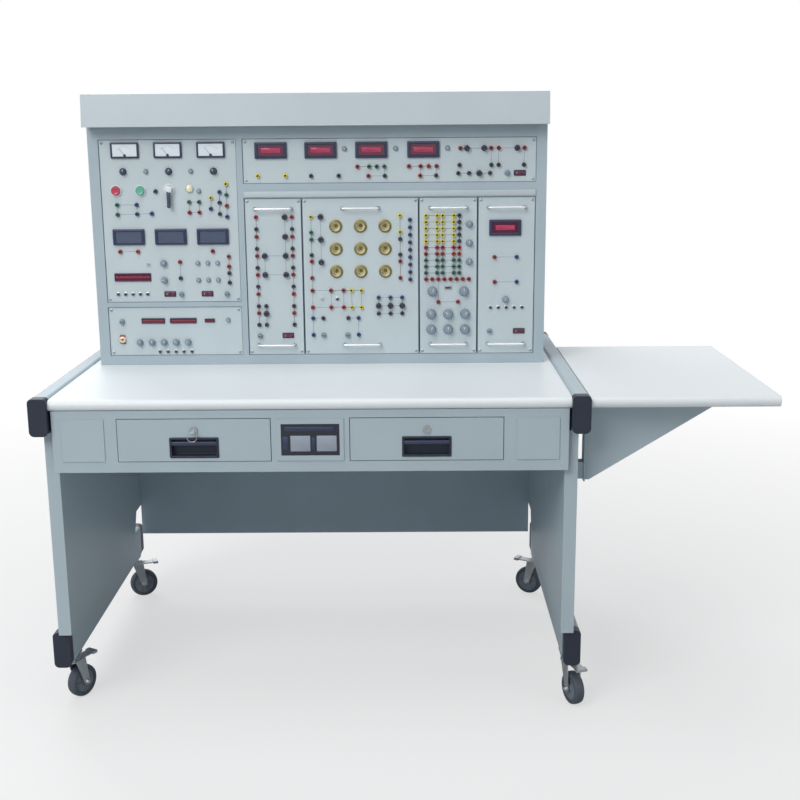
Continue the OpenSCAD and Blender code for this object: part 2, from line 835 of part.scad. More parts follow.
module fuse_holders() {
    color(zinc) bench() for (p = fuse_places) on_face(p) difference() {
        union() {
            cylinder(d = fuse_head, h = 9);
            translate([0, 0, -24]) cylinder(d = fuse_shank, h = 24);
        }
        translate([-fuse_head / 2, -0.75, 7.5]) cube([fuse_head, 1.5, 3]);
    }
}

// Small knobs, press buttons, toggles, bezels and switches that are drawn fixed
module small_controls() {
    color([0.30, 0.33, 0.38]) bench() {
        for (p = pointer_places) on_face(p) {
            cylinder(d = pointer_diameter, h = 4);
            translate([0, 0, 4]) cylinder(d = pointer_diameter - 5, h = 8);
        }
        for (p = trimmer_places) on_face(p) cylinder(d = trimmer_diameter, h = 7);
        for (p = press_places) on_face(p) cylinder(d = press_diameter, h = 5);
        for (p = toggle_places) on_face(p) {
            cylinder(d = 10, h = 3);
            translate([0, 0, 3]) rotate([25, 0, 0]) cylinder(d = 3.5, h = 11);
        }
        for (p = rocker_places) on_face(p) {
            translate([-rocker_size[0] / 2, -rocker_size[1] / 2, 0])
                cube([rocker_size[0], rocker_size[1], 2]);
            translate([-rocker_size[0] / 2 + 2, -rocker_size[1] / 2 + 2, 2])
                cube([rocker_size[0] - 4, rocker_size[1] - 4, 2.5]);
        }
        on_face(slide_switch_place) translate([-10, -5, 0]) cube([20, 10, 4]);
        on_face(beacon_place) cylinder(d = 20, h = 9);
        for (p = [stop_place, start_place]) on_face(p)
            ring(button_diameter + 2 * moving_gap, bezel_wall, 5);
        on_face(key_place) ring(key_diameter + 2 * moving_gap, bezel_wall, 8);
        // frame round the signal rocker
        on_face(signal_rocker_place) difference() {
            translate([-rocker_width / 2 - moving_gap - rocker_frame,
                    -rocker_radius - moving_gap - rocker_frame, 0])
                cube([rocker_width + 2 * (moving_gap + rocker_frame),
                    2 * (rocker_radius + moving_gap + rocker_frame), 2]);
            translate([-rocker_width / 2 - moving_gap, -rocker_radius - moving_gap, -1])
                cube([rocker_width + 2 * moving_gap, 2 * (rocker_radius + moving_gap), 4]);
        }
    }
}

module ring(bore, wall, height) {
    difference() {
        cylinder(d = bore + 2 * wall, h = height);
        translate([0, 0, -1]) cylinder(d = bore, h = height + 2);
    }
}

// Screws at the corners of every panel and module, and along the modesty panel
module fixings() {
    inset = 8;
    boxes = [power_box, signal_box, meter_box, module_box(0), module_box(1), module_box(2),
        module_box(3)];
    color(zinc) bench() {
        for (box = boxes) for (x = [box[0] + inset, box[1] - inset])
            for (z = [box[2] + inset, box[3] - inset]) on_face([x, z]) difference() {
                cylinder(d = screw_diameter, h = screw_proud);
                translate([-screw_diameter / 2, -0.5, screw_proud - 0.8])
                    cube([screw_diameter, 1, 2]);
            }
    }
}

// Moving controls

module push_button(place) {
    on_face(place) {
        cylinder(d = button_diameter, h = 9);
        translate([0, 0, -button_stem]) cylinder(d = button_diameter - 8, h = button_stem);
    }
}

module stop_button() {
    color([0.82, 0.10, 0.10]) bench() push_button(stop_place);
}

module start_button() {
    color([0.16, 0.60, 0.30]) bench() push_button(start_place);
}

// Selector with a long black lever that points down
module key_switch() {
    color(dark) bench() on_face(key_place) {
        translate([0, 0, -12]) cylinder(d = key_diameter, h = 22);
        translate([-4, -46, 10]) cube([8, 54, 5]);
    }
}

// Rocker: a round-ended body that turns on its own centre, with a shallow valley on top
module signal_rocker() {
    valley = 3;
    color([0.80, 0.12, 0.12]) bench() on_face(signal_rocker_place)
        translate([-rocker_width / 2, 0, 0]) rotate([90, 0, 90])
            linear_extrude(rocker_width) difference() {
                circle(r = rocker_radius);
                translate([-rocker_radius - 1, -rocker_radius - 1])
                    square([2 * rocker_radius + 2, rocker_radius - 3]);
                polygon([[0, 3], [rocker_radius + 1, 3 + valley + 2],
                    [rocker_radius + 1, rocker_radius + 1],
                    [-rocker_radius - 1, rocker_radius + 1],
                    [-rocker_radius - 1, 3 + valley + 2]]);
            }
}

// Large knob: skirt, fluted grip and a shaft through the panel
module resistor_knob(index) {
    flutes = 12;
    grip = knob_diameter - 6;
    color([0.55, 0.60, 0.66]) bench() on_face(resistor_places[index - 1]) {
        translate([0, 0, moving_gap]) cylinder(d = knob_diameter, h = 3);
        translate([0, 0, moving_gap + 3]) difference() {
            cylinder(d = grip, h = 13);
            for (i = [0:flutes - 1]) rotate(i * 360 / flutes)
                translate([grip / 2 + 0.6, 0, -1]) cylinder(d = 2.6, h = 15, $fn = 16);
        }
        translate([0, 0, -12]) cylinder(d = shaft_diameter, h = 12 + moving_gap);
    }
}

// Side shelf and its brackets

module side_shelf() {
    color(board) bench()
        translate([shelf_left + shelf_width / 2, shelf_y, shelf_top - shelf_thickness])
            nosed_board(shelf_width, shelf_depth, shelf_thickness);
}

module shelf_brackets() {
    post_outer = side_centre + side_thickness / 2;
    plate_bottom = shelf_top - shelf_thickness - bracket_height;
    color(paint) bench() for (y = [bracket_front, bracket_rear]) {
        // triangular web
        translate([bracket_left + flange, y + flange, 0]) rotate([90, 0, 0])
            linear_extrude(flange) polygon([[0, plate_bottom], [12, plate_bottom],
                [bracket_reach, plate_bottom + bracket_height - 12],
                [bracket_reach, plate_bottom + bracket_height],
                [0, plate_bottom + bracket_height]]);
        // upright flange against the rail, top flange under the shelf
        translate([bracket_left, y - 17, plate_bottom])
            cube([flange, 34 + flange, bracket_height]);
        translate([bracket_left + flange, y - 17, plate_bottom + bracket_height - flange])
            cube([bracket_reach, 17, flange]);
        // spacer from the upright flange to the side panel
        translate([post_outer, y - 14, plate_bottom + 6])
            cube([bracket_left - post_outer, 30, 40]);
    }
}

// Casters

// Moves a caster drawn at the origin under its corner of the bench
module caster_spot(side, rear) {
    translate([side * foot_centre, rear ? caster_rear_y : caster_front_y, 0]) children();
}

module caster_plates() {
    color(zinc) bench() for (side = [-1, 1]) for (rear = [false, true])
        caster_spot(side, rear) {
            translate([-caster_plate_size[0] / 2, -caster_plate_size[1] / 2,
                    caster_height - caster_plate])
                cube([caster_plate_size[0], caster_plate_size[1], caster_plate]);
            // king pin and the head that keeps the fork on it
            translate([0, 0, crown_bottom - moving_gap - 3])
                cylinder(d = king_pin, h = caster_height - caster_plate - crown_bottom
                    + moving_gap + 3);
            translate([0, 0, crown_bottom - moving_gap - 3])
                cylinder(d = king_head, h = 3);
        }
}

// Fork drawn with its trail along +X; it carries the axle and a brake pedal
module fork() {
    leg_inner = wheel_width / 2 + fork_clear;
    leg_height = crown_bottom + fork_sheet - axle_height;
    difference() {
        union() {
            translate([0, 0, crown_bottom]) cylinder(d = race_diameter, h = fork_sheet);
            translate([0, 0, crown_bottom + fork_sheet])
                cylinder(d = race_diameter - 8,
                    h = caster_height - caster_plate - moving_gap - crown_bottom - fork_sheet);
            translate([0, -leg_inner - fork_sheet, crown_bottom])
                cube([caster_trail, 2 * (leg_inner + fork_sheet), fork_sheet]);
        }
        translate([0, 0, crown_bottom - 1]) cylinder(d = king_pin + 2 * running, h = 30);
    }
    for (side = [-1, 1]) translate([0, side * (leg_inner + fork_sheet / 2) + fork_sheet / 2, 0])
        rotate([90, 0, 0]) linear_extrude(fork_sheet) union() {
            polygon([[0, crown_bottom], [caster_trail, crown_bottom],
                [caster_trail + 9, axle_height], [caster_trail - 9, axle_height]]);
            translate([caster_trail, axle_height]) circle(r = 9);
        }
    translate([caster_trail, leg_inner, axle_height]) rotate([90, 0, 0])
        cylinder(d = axle_diameter, h = 2 * leg_inner);
    // brake pedal over the wheel, fixed to the crown
    pedal_length = wheel_diameter / 2 + 4;
    translate([caster_trail, -leg_inner + 3, crown_bottom])
        cube([pedal_length - 14, 2 * leg_inner - 6, fork_sheet]);
    translate([caster_trail + pedal_length - 14, -leg_inner + 1, crown_bottom - 2])
        cube([14, 2 * leg_inner - 2, fork_sheet + 4]);
}

// Wheel round the origin's X axis line at the end of the trail
module wheel() {
    translate([caster_trail, wheel_width / 2, axle_height]) rotate([90, 0, 0]) difference() {
        union() {
            cylinder(d = wheel_diameter - 4, h = wheel_width);
            translate([0, 0, 3]) cylinder(d = wheel_diameter, h = wheel_width - 6);
        }
        translate([0, 0, -1]) cylinder(d = axle_diameter + 2 * running, h = wheel_width + 2);
        for (z = [-1, wheel_width - 4]) translate([0, 0, z]) difference() {
            cylinder(d = wheel_diameter - 22, h = 5);
            translate([0, 0, -1]) cylinder(d = axle_diameter + 12, h = 7);
        }
    }
}

// Trail directions of the four casters, as the bench was left standing
swivel_front_left = 60;
swivel_front_right = -70;
swivel_rear_left = 20;
swivel_rear_right = 150;

module front_left_fork() {
    color(zinc) bench() caster_spot(-1, false) rotate(swivel_front_left) fork();
}

module front_right_fork() {
    color(zinc) bench() caster_spot(1, false) rotate(swivel_front_right) fork();
}

module rear_left_fork() {
    color(zinc) bench() caster_spot(-1, true) rotate(swivel_rear_left) fork();
}

module rear_right_fork() {
    color(zinc) bench() caster_spot(1, true) rotate(swivel_rear_right) fork();
}

module front_left_wheel() {
    color(rubber) bench() caster_spot(-1, false) rotate(swivel_front_left) wheel();
}

module front_right_wheel() {
    color(rubber) bench() caster_spot(1, false) rotate(swivel_front_right) wheel();
}

module rear_left_wheel() {
    color(rubber) bench() caster_spot(-1, true) rotate(swivel_rear_left) wheel();
}

module rear_right_wheel() {
    color(rubber) bench() caster_spot(1, true) rotate(swivel_rear_right) wheel();
}

side_panels();
top_rails();
foot_rails();
end_caps();
desk_top();
drawer_cabinet();
blank_panels();
nameplate();
modesty_panel();
console_shell();
console_frame();
canopy();
power_panel();
signal_panel();
meter_panel();
module_one();
module_two();
module_three();
module_four();
module_handles();
side_shelf();
shelf_brackets();
red_sockets();
black_sockets();
yellow_sockets();
green_sockets();
blue_sockets();
lamp_holders();
analog_meters();
digital_meters();
fuse_holders();
small_controls();
fixings();
caster_plates();
left_drawer();
right_drawer();
left_pull();
right_pull();
left_lock();
right_lock();
stop_button();
start_button();
key_switch();
signal_rocker();
resistor_knob(1);  // resistor_knob_1
resistor_knob(2);  // resistor_knob_2
resistor_knob(3);  // resistor_knob_3
resistor_knob(4);  // resistor_knob_4
resistor_knob(5);  // resistor_knob_5
resistor_knob(6);  // resistor_knob_6
resistor_knob(7);  // resistor_knob_7
resistor_knob(8);  // resistor_knob_8
front_left_fork();
front_right_fork();
rear_left_fork();
rear_right_fork();
front_left_wheel();
front_right_wheel();
rear_left_wheel();
rear_right_wheel();
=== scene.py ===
"""Looks of a mobile electrical teaching bench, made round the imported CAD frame.

Profiles and pieces on a panel are in millimetres. Blender's own places are in metres.
"""

import itertools
import json
import math

import bmesh
import bpy
from mathutils import Matrix, Vector


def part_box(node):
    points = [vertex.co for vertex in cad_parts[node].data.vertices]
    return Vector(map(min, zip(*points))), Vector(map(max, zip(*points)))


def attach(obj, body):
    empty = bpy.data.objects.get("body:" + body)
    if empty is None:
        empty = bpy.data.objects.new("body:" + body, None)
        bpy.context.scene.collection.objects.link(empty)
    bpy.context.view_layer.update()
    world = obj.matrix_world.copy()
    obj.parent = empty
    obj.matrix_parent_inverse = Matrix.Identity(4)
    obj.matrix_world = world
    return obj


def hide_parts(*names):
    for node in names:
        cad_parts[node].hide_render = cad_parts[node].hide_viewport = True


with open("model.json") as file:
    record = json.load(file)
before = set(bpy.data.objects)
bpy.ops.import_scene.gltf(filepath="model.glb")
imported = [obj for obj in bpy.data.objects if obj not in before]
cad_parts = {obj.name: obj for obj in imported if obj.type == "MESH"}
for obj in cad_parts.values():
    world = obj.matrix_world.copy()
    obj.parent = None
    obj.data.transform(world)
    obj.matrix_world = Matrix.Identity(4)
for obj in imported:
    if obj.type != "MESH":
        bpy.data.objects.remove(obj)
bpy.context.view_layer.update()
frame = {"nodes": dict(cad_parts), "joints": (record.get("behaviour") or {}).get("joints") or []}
NODES = frame["nodes"]
SCENE = bpy.context.scene
MM = 0.001
BENCH = "bench"
# front of every panel on the console
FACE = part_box("power_panel")[0].y


# Materials

# where most of a noise texture's values lie
NOISE_LOW, NOISE_HIGH = 0.3, 0.7
# how far a patch is smoother or rougher than the roughness it is given
SMOOTHER, ROUGHER = 0.05, 0.07
SPECK_SIZE, SPECK_LOW, SPECK_HIGH, SPECK_SHADE = 0.6, 0.62, 0.72, 0.6
# cosine between the real and the softened normal, on flat surface and at an edge with full wear and
# painted highlight
FLAT, WORN_AND_HIGHLIT = 0.995, 0.8
# noise size and range that break up the edge wear and painted edge highlight, and how much lighter
# they make the colour
WEAR_AND_HIGHLIGHT_SIZE, WEAR_AND_HIGHLIGHT_LOW, WEAR_AND_HIGHLIGHT_HIGH, WEAR_AND_HIGHLIGHT_SHADE = 60.0, 0.42, 0.62, 1.5
GRAIN_DEPTH = 0.0004
PLASTIC_IOR = 1.45


def tone(red, green, blue):
    """A linear colour from sRGB display values of 0 to 255."""
    parts = []
    for value in (red, green, blue):
        share = value / 255
        parts.append(share / 12.92 if share <= 0.04045 else ((share + 0.055) / 1.055) ** 2.4)
    return (*parts, 1.0)


def shade(colour, factor):
    """The same colour, lighter or darker by a factor."""
    return tuple(min(1.0, part * factor) for part in colour[:3]) + (1.0,)


def feed(tree, target, inputs):
    """Set a shader node's inputs to values, or link them to the outputs of other nodes."""
    for key, value in inputs.items():
        if isinstance(value, bpy.types.NodeSocket):
            tree.links.new(value, target.inputs[key])
        else:
            target.inputs[key].default_value = value


def node(tree, kind, inputs, **settings):
    """A new shader node with some of its settings and inputs."""
    made = tree.nodes.new(kind)
    for key, value in settings.items():
        setattr(made, key, value)
    feed(tree, made, inputs)
    return made


def place_in(tree):
    """The place that is being shaded, from the object's own origin."""
    return node(tree, "ShaderNodeTexCoord", {}).outputs["Object"]


def mixed(tree, factor, first, second):
    """A mix of two colours, which can be values or outputs."""
    inputs = {0: factor, 6: first, 7: second}
    return node(tree, "ShaderNodeMix", inputs, data_type="RGBA").outputs[2]


def noise(tree, where, scale, detail):
    """A noise texture's value at a place."""
    inputs = {"Vector": where, "Scale": scale, "Detail": detail}
    return node(tree, "ShaderNodeTexNoise", inputs).outputs["Fac"]


def ranged(tree, value, low, high, out_low, out_high):
    """A value carried from one range to another, and held inside it."""
    inputs = {"Value": value, "From Min": low, "From Max": high, "To Min": out_low,
              "To Max": out_high}
    return node(tree, "ShaderNodeMapRange", inputs).outputs["Result"]


def worn_and_highlit_edges(tree, where, softened, wear_and_highlight):
    """How much edge wear and painted highlight the surface has: broken up along its edges, and 0
    away from them.
    """
    real = node(tree, "ShaderNodeNewGeometry", {}).outputs["Normal"]
    dot = node(tree, "ShaderNodeVectorMath", {0: softened, 1: real}, operation="DOT_PRODUCT")
    edges = ranged(tree, dot.outputs["Value"], FLAT, WORN_AND_HIGHLIT, 0.0, 1.0)
    patchy = ranged(tree, noise(tree, where, WEAR_AND_HIGHLIGHT_SIZE, 5.0), WEAR_AND_HIGHLIGHT_LOW, WEAR_AND_HIGHLIGHT_HIGH, 0.0, wear_and_highlight)
    worn_and_highlit = node(tree, "ShaderNodeMath", {0: edges, 1: patchy}, operation="MULTIPLY",
                use_clamp=True)
    return worn_and_highlit.outputs["Value"]


def material(name, colour, rough, metallic=0.0, coat=0.0, patch=0.06, patch_size=7.0,
             grain=0.12, grain_size=900.0, wear_and_highlight=0.0, wear_and_highlight_colour=None, edge=0.0012, speck=0.0):
    """A procedural surface: uneven colour, fine grain, softened edges, and wear with a painted
    highlight along them in a lighter colour.
    """
    made = bpy.data.materials.new(name)
    made.use_nodes = True
    tree = made.node_tree
    shader = tree.nodes["Principled BSDF"]
    where = place_in(tree)
    broad = noise(tree, where, patch_size, 4.0)
    fine = noise(tree, where, grain_size, 2.0)
    spread = ranged(tree, broad, NOISE_LOW, NOISE_HIGH, 0.0, 1.0)
    surface = mixed(tree, spread, shade(colour, 1 - patch), shade(colour, 1 + patch))
    if speck:
        dots = noise(tree, where, grain_size * SPECK_SIZE, 1.0)
        dots = ranged(tree, dots, SPECK_LOW, SPECK_HIGH, 0.0, speck)
        surface = mixed(tree, dots, surface, shade(colour, SPECK_SHADE))
    softened = node(tree, "ShaderNodeBevel", {"Radius": edge}, samples=4).outputs["Normal"]
    # a lighter colour along the edges: wear, and a painted highlight where the edges catch the
    # light
    if wear_and_highlight:
        worn_and_highlit = worn_and_highlit_edges(tree, where, softened, wear_and_highlight)
        surface = mixed(tree, worn_and_highlit, surface, wear_and_highlight_colour or shade(colour, WEAR_AND_HIGHLIGHT_SHADE))
    gloss = ranged(tree, broad, NOISE_LOW, NOISE_HIGH, rough - SMOOTHER, rough + ROUGHER)
    bump = node(tree, "ShaderNodeBump", {"Strength": grain, "Distance": GRAIN_DEPTH,
                                         "Height": fine, "Normal": softened})
    feed(tree, shader, {"Base Color": surface, "Roughness": gloss, "Metallic": metallic,
                        "Coat Weight": coat, "IOR": PLASTIC_IOR,
                        "Normal": bump.outputs["Normal"]})
    return made


# Painted and laminated sheet
# in every material below that has some, the lighter colour along the edges is wear and a painted
# edge highlight
PAINT = material("satin_paint", tone(170, 185, 194), rough=0.42, patch=0.025, grain=0.16,
                 grain_size=420.0, wear_and_highlight=0.5, wear_and_highlight_colour=tone(196, 208, 216))
# a darker copy of the satin paint, for the modesty panel deep in the kneehole: painted shade
SHADED_PAINT = material("satin_paint_shaded", tone(160, 178, 190), rough=0.5, patch=0.04, grain=0.16,
                 grain_size=420.0, wear_and_highlight=0.3)
PANEL = material("panel_lacquer", tone(194, 207, 212), rough=0.38, patch=0.02, grain=0.08,
                 grain_size=600.0, wear_and_highlight=0.35, wear_and_highlight_colour=tone(204, 216, 224), edge=0.0008)
COVER = material("canopy_lacquer", tone(184, 196, 202), rough=0.4, patch=0.02, grain=0.12,
                 grain_size=450.0, wear_and_highlight=0.4, wear_and_highlight_colour=tone(226, 232, 236))
BOARD = material("white_laminate", tone(223, 229, 233), rough=0.36, patch=0.015, patch_size=3.0,
                 grain=0.10, grain_size=1400.0, speck=0.10, wear_and_highlight=0.3,
                 wear_and_highlight_colour=tone(238, 241, 243), edge=0.002)

# Plastics
CAP = material("moulded_cap", tone(34, 42, 58), rough=0.45, patch=0.10, grain=0.30,
               grain_size=700.0, wear_and_highlight=0.5, wear_and_highlight_colour=tone(78, 84, 110), edge=0.003)
DARK = material("dark_plastic", tone(34, 38, 50), rough=0.35, patch=0.08, coat=0.2, grain=0.1)
BLACK = material("black_socket_plastic", tone(38, 44, 70), rough=0.32, coat=0.3, patch=0.08)
RED = material("red_socket_plastic", tone(150, 28, 48), rough=0.3, coat=0.35, patch=0.08)
YELLOW = material("yellow_socket_plastic", tone(214, 200, 60), rough=0.32, coat=0.3)
GREEN = material("green_socket_plastic", tone(40, 104, 88), rough=0.32, coat=0.3, patch=0.08)
BLUE = material("blue_socket_plastic", tone(42, 66, 128), rough=0.32, coat=0.3, patch=0.08)
BEZEL = material("meter_bezel", tone(44, 52, 82), rough=0.36, coat=0.2, grain=0.2)
KNOB = material("grey_knob", tone(132, 148, 162), rough=0.42, grain=0.2,
                grain_size=700.0, wear_and_highlight=0.35)
KNOB_DARK = material("dark_knob", tone(58, 68, 90), rough=0.4, patch=0.08, grain=0.2)
CELL = material("plate_cell", tone(150, 160, 174), rough=0.4, grain=0.1)
MAROON = material("maroon_rocker", tone(92, 34, 58), rough=0.28, coat=0.4)
SCARLET = material("red_actuator", tone(188, 66, 90), rough=0.28, coat=0.4, patch=0.05)
JADE = material("green_actuator", tone(100, 178, 156), rough=0.28, coat=0.4, patch=0.05)
LIGHT = material("light_plastic", tone(222, 228, 232), rough=0.35, coat=0.2, patch=0.03)
AMBER = material("pale_lens", tone(232, 228, 190), rough=0.18, coat=0.6, patch=0.05)
TYRE = material("wheel_tread", tone(74, 82, 92), rough=0.62, patch=0.10, grain=0.4,
                grain_size=500.0, wear_and_highlight=0.4, wear_and_highlight_colour=tone(120, 128, 136))
HUB = material("wheel_hub", tone(112, 122, 132), rough=0.5, patch=0.08, grain=0.25, wear_and_highlight=0.3)

# Bores, metals and the lamp holders' ceramic
# near-black bore walls: painted shade deep inside the socket holes
BORE_SHADE = material("socket_bore_shade", tone(14, 15, 20), rough=0.7, patch=0.1)
INSERT = material("socket_insert", tone(120, 112, 96), rough=0.35, metallic=0.8, patch=0.08)
NICKEL = material("nickel", tone(190, 194, 196), rough=0.28, metallic=1.0)
ZINC = material("zinc_plate", tone(168, 174, 178), rough=0.36, metallic=0.9, patch=0.10,
                patch_size=40.0, grain=0.15, wear_and_highlight=0.3)
BRASS = material("brass_shell", tone(132, 120, 66), rough=0.38, metallic=0.55, patch=0.12,
                 patch_size=60.0, wear_and_highlight=0.5, wear_and_highlight_colour=tone(196, 184, 120))
CHROME = material("plated_bar", tone(232, 234, 238), rough=0.22, metallic=0.6, patch=0.03)
CERAMIC = material("lamp_base", tone(246, 240, 216), rough=0.5, patch=0.12, patch_size=90.0)

# Meter faces and printed marks
CRIMSON = material("crimson_window", tone(92, 28, 56), rough=0.12, coat=0.6, grain=0.02)
SLATE = material("slate_window", tone(82, 94, 116), rough=0.12, coat=0.6, grain=0.02)
DISPLAY = material("display_band", tone(178, 52, 92), rough=0.2, coat=0.4, patch=0.10,
                   patch_size=120.0, grain=0.02)
DIAL = material("meter_dial", tone(226, 236, 244), rough=0.4, coat=0.3, patch=0.015, grain=0.04)
INK = material("panel_ink", tone(104, 122, 148), rough=0.5, grain=0.06, edge=0.0002)
# painted shadow in the seams round the panels
SEAM_SHADOW = material("panel_seam_shadow", tone(96, 112, 130), rough=0.6, patch=0.10, grain=0.1,
                     edge=0.0002)
INK_DARK = material("dark_ink", tone(44, 50, 66), rough=0.5, grain=0.06, edge=0.0002)


# Shape tools

# distance out and distance in, as shares, along an edge that is rounded over
ROUNDED_EDGE = ((0.0, 0.0), (0.3, 0.13), (0.7, 0.5), (1.0, 1.0))
SMALLEST = 1e-5
CORNER_STEPS = 4
SMOOTH_BELOW = math.radians(38.0)
WELD = 1e-6


def towards_user(centre, spin=0.0):
    """Axes for a piece on a panel: across, up, and out of the panel."""
    axes = Matrix(((1, 0, 0, 0), (0, 0, -1, 0), (0, 1, 0, 0), (0, 0, 0, 1)))
    return Matrix.Translation(centre) @ axes @ Matrix.Rotation(spin, 4, "Z")


def shifted(axes, across, up):
    """The same axes, moved across and up by so many mm."""
    return axes @ Matrix.Translation((across * MM, up * MM, 0))


def spun(axes, angle, about="Z"):
    """The same axes, turned."""
    return axes @ Matrix.Rotation(angle, 4, about)


def circle(radius, count, height, flutes=0, depth=0.0):
    """One ring of a turned shape; flutes cut evenly spaced grooves round it."""
    ring = []
    for i in range(count):
        angle = 2 * math.pi * i / count
        here = radius
        if flutes:
            here -= depth * max(0.0, math.cos(angle * flutes)) ** 2
        ring.append((here * math.cos(angle), here * math.sin(angle), height))
    return ring


def rounded(width, height, corner, out, middle):
    """One ring of a moulded shape: a rectangle with round corners."""
    corner = max(min(corner, width / 2 - SMALLEST, height / 2 - SMALLEST), SMALLEST)
    ring = []
    for i, (sx, sy) in enumerate(((1, 1), (-1, 1), (-1, -1), (1, -1))):
        for step in range(CORNER_STEPS + 1):
            angle = math.pi / 2 * (i + step / CORNER_STEPS)
            ring.append((middle[0] + sx * (width / 2 - corner) + corner * math.cos(angle),
                         middle[1] + sy * (height / 2 - corner) + corner * math.sin(angle), out))
    return ring


def stepped(wide, tall, steps):
    """Rings of a moulded shape, each from how much smaller it is, its corner and its place."""
    return [(wide - less, tall - less, corner, out) for less, corner, out in steps]


class Shape:
    """Collects rings, strips and tubes, and then becomes one object."""

    def __init__(self):
        self.points, self.faces, self.kinds = [], [], []

    def rings(self, axes, loops, kinds=0, start=False, end=True):
        """Strips of faces from ring to ring. kinds is one material index, or a list of them."""
        count, strips = len(loops[0]), len(loops) - 1
        first = len(self.points)
        if isinstance(kinds, int):
            kinds = [kinds] * strips
        for loop in loops:
            self.points += [axes @ Vector(p) for p in loop]
        for level in range(strips):
            base = first + level * count
            for i in range(count):
                j = (i + 1) % count
                self.faces.append((base + i, base + j, base + count + j, base + count + i))
                self.kinds.append(kinds[level])
        if end:
            base = first + strips * count
            self.faces.append(tuple(range(base, base + count)))
            self.kinds.append(kinds[-1])
        if start:
            self.faces.append(tuple(reversed(range(first, first + count))))
            self.kinds.append(kinds[0])

    def turned(self, axes, profile, kinds=0, count=24, flutes=0, depth=0.0, start=False,
               end=True):
        """A turned shape. profile is a list of radius and height in mm, and True if fluted."""
        loops = [circle(r * MM, count, h * MM, flutes if f else 0, depth * MM)
                 for r, h, f in [(*p, False) if len(p) == 2 else p for p in profile]]
        self.rings(axes, loops, kinds, start=start, end=end)

    def moulded(self, axes, profile, kinds=0, start=False, middle=(0.0, 0.0)):
        """A moulded shape. profile is a list of width, height, corner and distance out, in mm."""
        centre = (middle[0] * MM, middle[1] * MM)
        loops = [rounded(w * MM, h * MM, c * MM, out * MM, centre) for w, h, c, out in profile]
        self.rings(axes, loops, kinds, start=start)

    def block(self, axes, width, height, low, high, corner=0.5, edge=0.4, kind=0,
              middle=(0.0, 0.0)):
        """A moulded block from low to high, with its front edge rounded over."""
        profile = [(width, height, corner, low)]
        profile += [(width - 2 * edge * back, height - 2 * edge * back, corner - edge * back / 2,
                     high - edge * (1 - rise)) for rise, back in ROUNDED_EDGE]
        self.moulded(axes, profile, kind, start=True, middle=middle)

    def tube(self, path, radius, count=12):
        """A round bar along a path of points in metres."""
        loops, side = [], None
        for i, point in enumerate(path):
            ahead = (path[min(i + 1, len(path) - 1)] - path[max(i - 1, 0)]).normalized()
            if side is None:
                side = ahead.orthogonal().normalized()
            side = (side - ahead * side.dot(ahead)).normalized()
            other = ahead.cross(side)
            loops.append([point + radius * (math.cos(a) * side + math.sin(a) * other)
                          for a in [2 * math.pi * k / count for k in range(count)]])
        self.rings(Matrix.Identity(4), loops, start=True)

    def finish(self, name, materials, body, replaces=()):
        """Make the object, ride it on its body and hide the CAD nodes it stands for."""
        mesh = bpy.data.meshes.new(name)
        mesh.from_pydata([tuple(p) for p in self.points], [], self.faces)
        for one in materials:
            mesh.materials.append(one)
        mesh.polygons.foreach_set("material_index", self.kinds)
        mesh.shade_smooth()
        mesh.set_sharp_from_angle(angle=SMOOTH_BELOW)
        mesh.update()
        piece = bpy.data.objects.new(name, mesh)
        SCENE.collection.objects.link(piece)
        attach(piece, body)
        if replaces:
            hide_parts(*replaces)


def islands(name):
    """The separate solids of a CAD node, each as its lowest and highest corner."""
    work = bmesh.new()
    work.from_mesh(NODES[name].data)
    bmesh.ops.remove_doubles(work, verts=work.verts, dist=WELD)
    seen, found = set(), []
    for vertex in work.verts:
        if vertex in seen:
            continue
        seen.add(vertex)
        stack, members = [vertex], []
        while stack:
            current = stack.pop()
            members.append(current.co.copy())
            for link in current.link_edges:
                other = link.other_vert(current)
                if other not in seen:
                    seen.add(other)
                    stack.append(other)
        low = Vector([min(p[i] for p in members) for i in range(3)])
        high = Vector([max(p[i] for p in members) for i in range(3)])
        found.append((low, high))
    work.free()
    return sorted(found, key=lambda box: (round(box[0].z, 4), round(box[0].x, 4)))


def size_of(box):
    """Width, depth and height of a box, in mm."""
    return (box[1] - box[0]) / MM


def middle_of(box, y):
    """The middle of a box as seen from the front, at the given depth."""
    low, high = box
    return Vector(((low.x + high.x) / 2, y, (low.z + high.z) / 2))


def face_place(box):
    """The point on the panels' face behind the middle of a box."""
    return middle_of(box, FACE)


def proud_of(box):
    """How far a box stands out of the panels, in mm."""
    return (FACE - box[0].y) / MM


# CAD nodes that stay

def dress(material_of, *names):
    """Give CAD nodes a finish, and leave their meshes alone."""
    for name in names:
        slots = NODES[name].data.materials
        for i in range(len(slots)):
            slots[i] = material_of
        if not len(slots):
            slots.append(material_of)


dress(PAINT, "top_rails", "foot_rails", "side_panels", "drawer_cabinet", "console_shell",
      "console_frame", "shelf_brackets", "blank_panels", "left_drawer", "right_drawer")
# the modesty panel gets the darker copy of the paint: painted shade in the kneehole
dress(SHADED_PAINT, "modesty_panel")
dress(PANEL, "power_panel", "signal_panel", "meter_panel", "module_one", "module_two",
      "module_three", "module_four")
dress(COVER, "canopy")
dress(BOARD, "desk_top", "side_shelf")
dress(CAP, "end_caps", "left_pull", "right_pull")
dress(DARK, "nameplate")
dress(ZINC, "caster_plates", "left_lock", "right_lock", "front_left_fork", "front_right_fork",
      "rear_left_fork", "rear_right_fork")
# the rest are hidden by a detailed piece below
for name in NODES:
    if not NODES[name].data.materials:
        dress(KNOB, name)


# Sockets

LARGE_SOCKET = 12
SOCKET_RIM, SOCKET_FLANGE = 0.9, 0.5
INSERT_OUTER, INSERT_INNER, INSERT_SUNK = 2.9, 2.1, 0.7
BORE_RADIUS, BORE_SUNK, BORE_END = 2.0, 1.2, -8.0
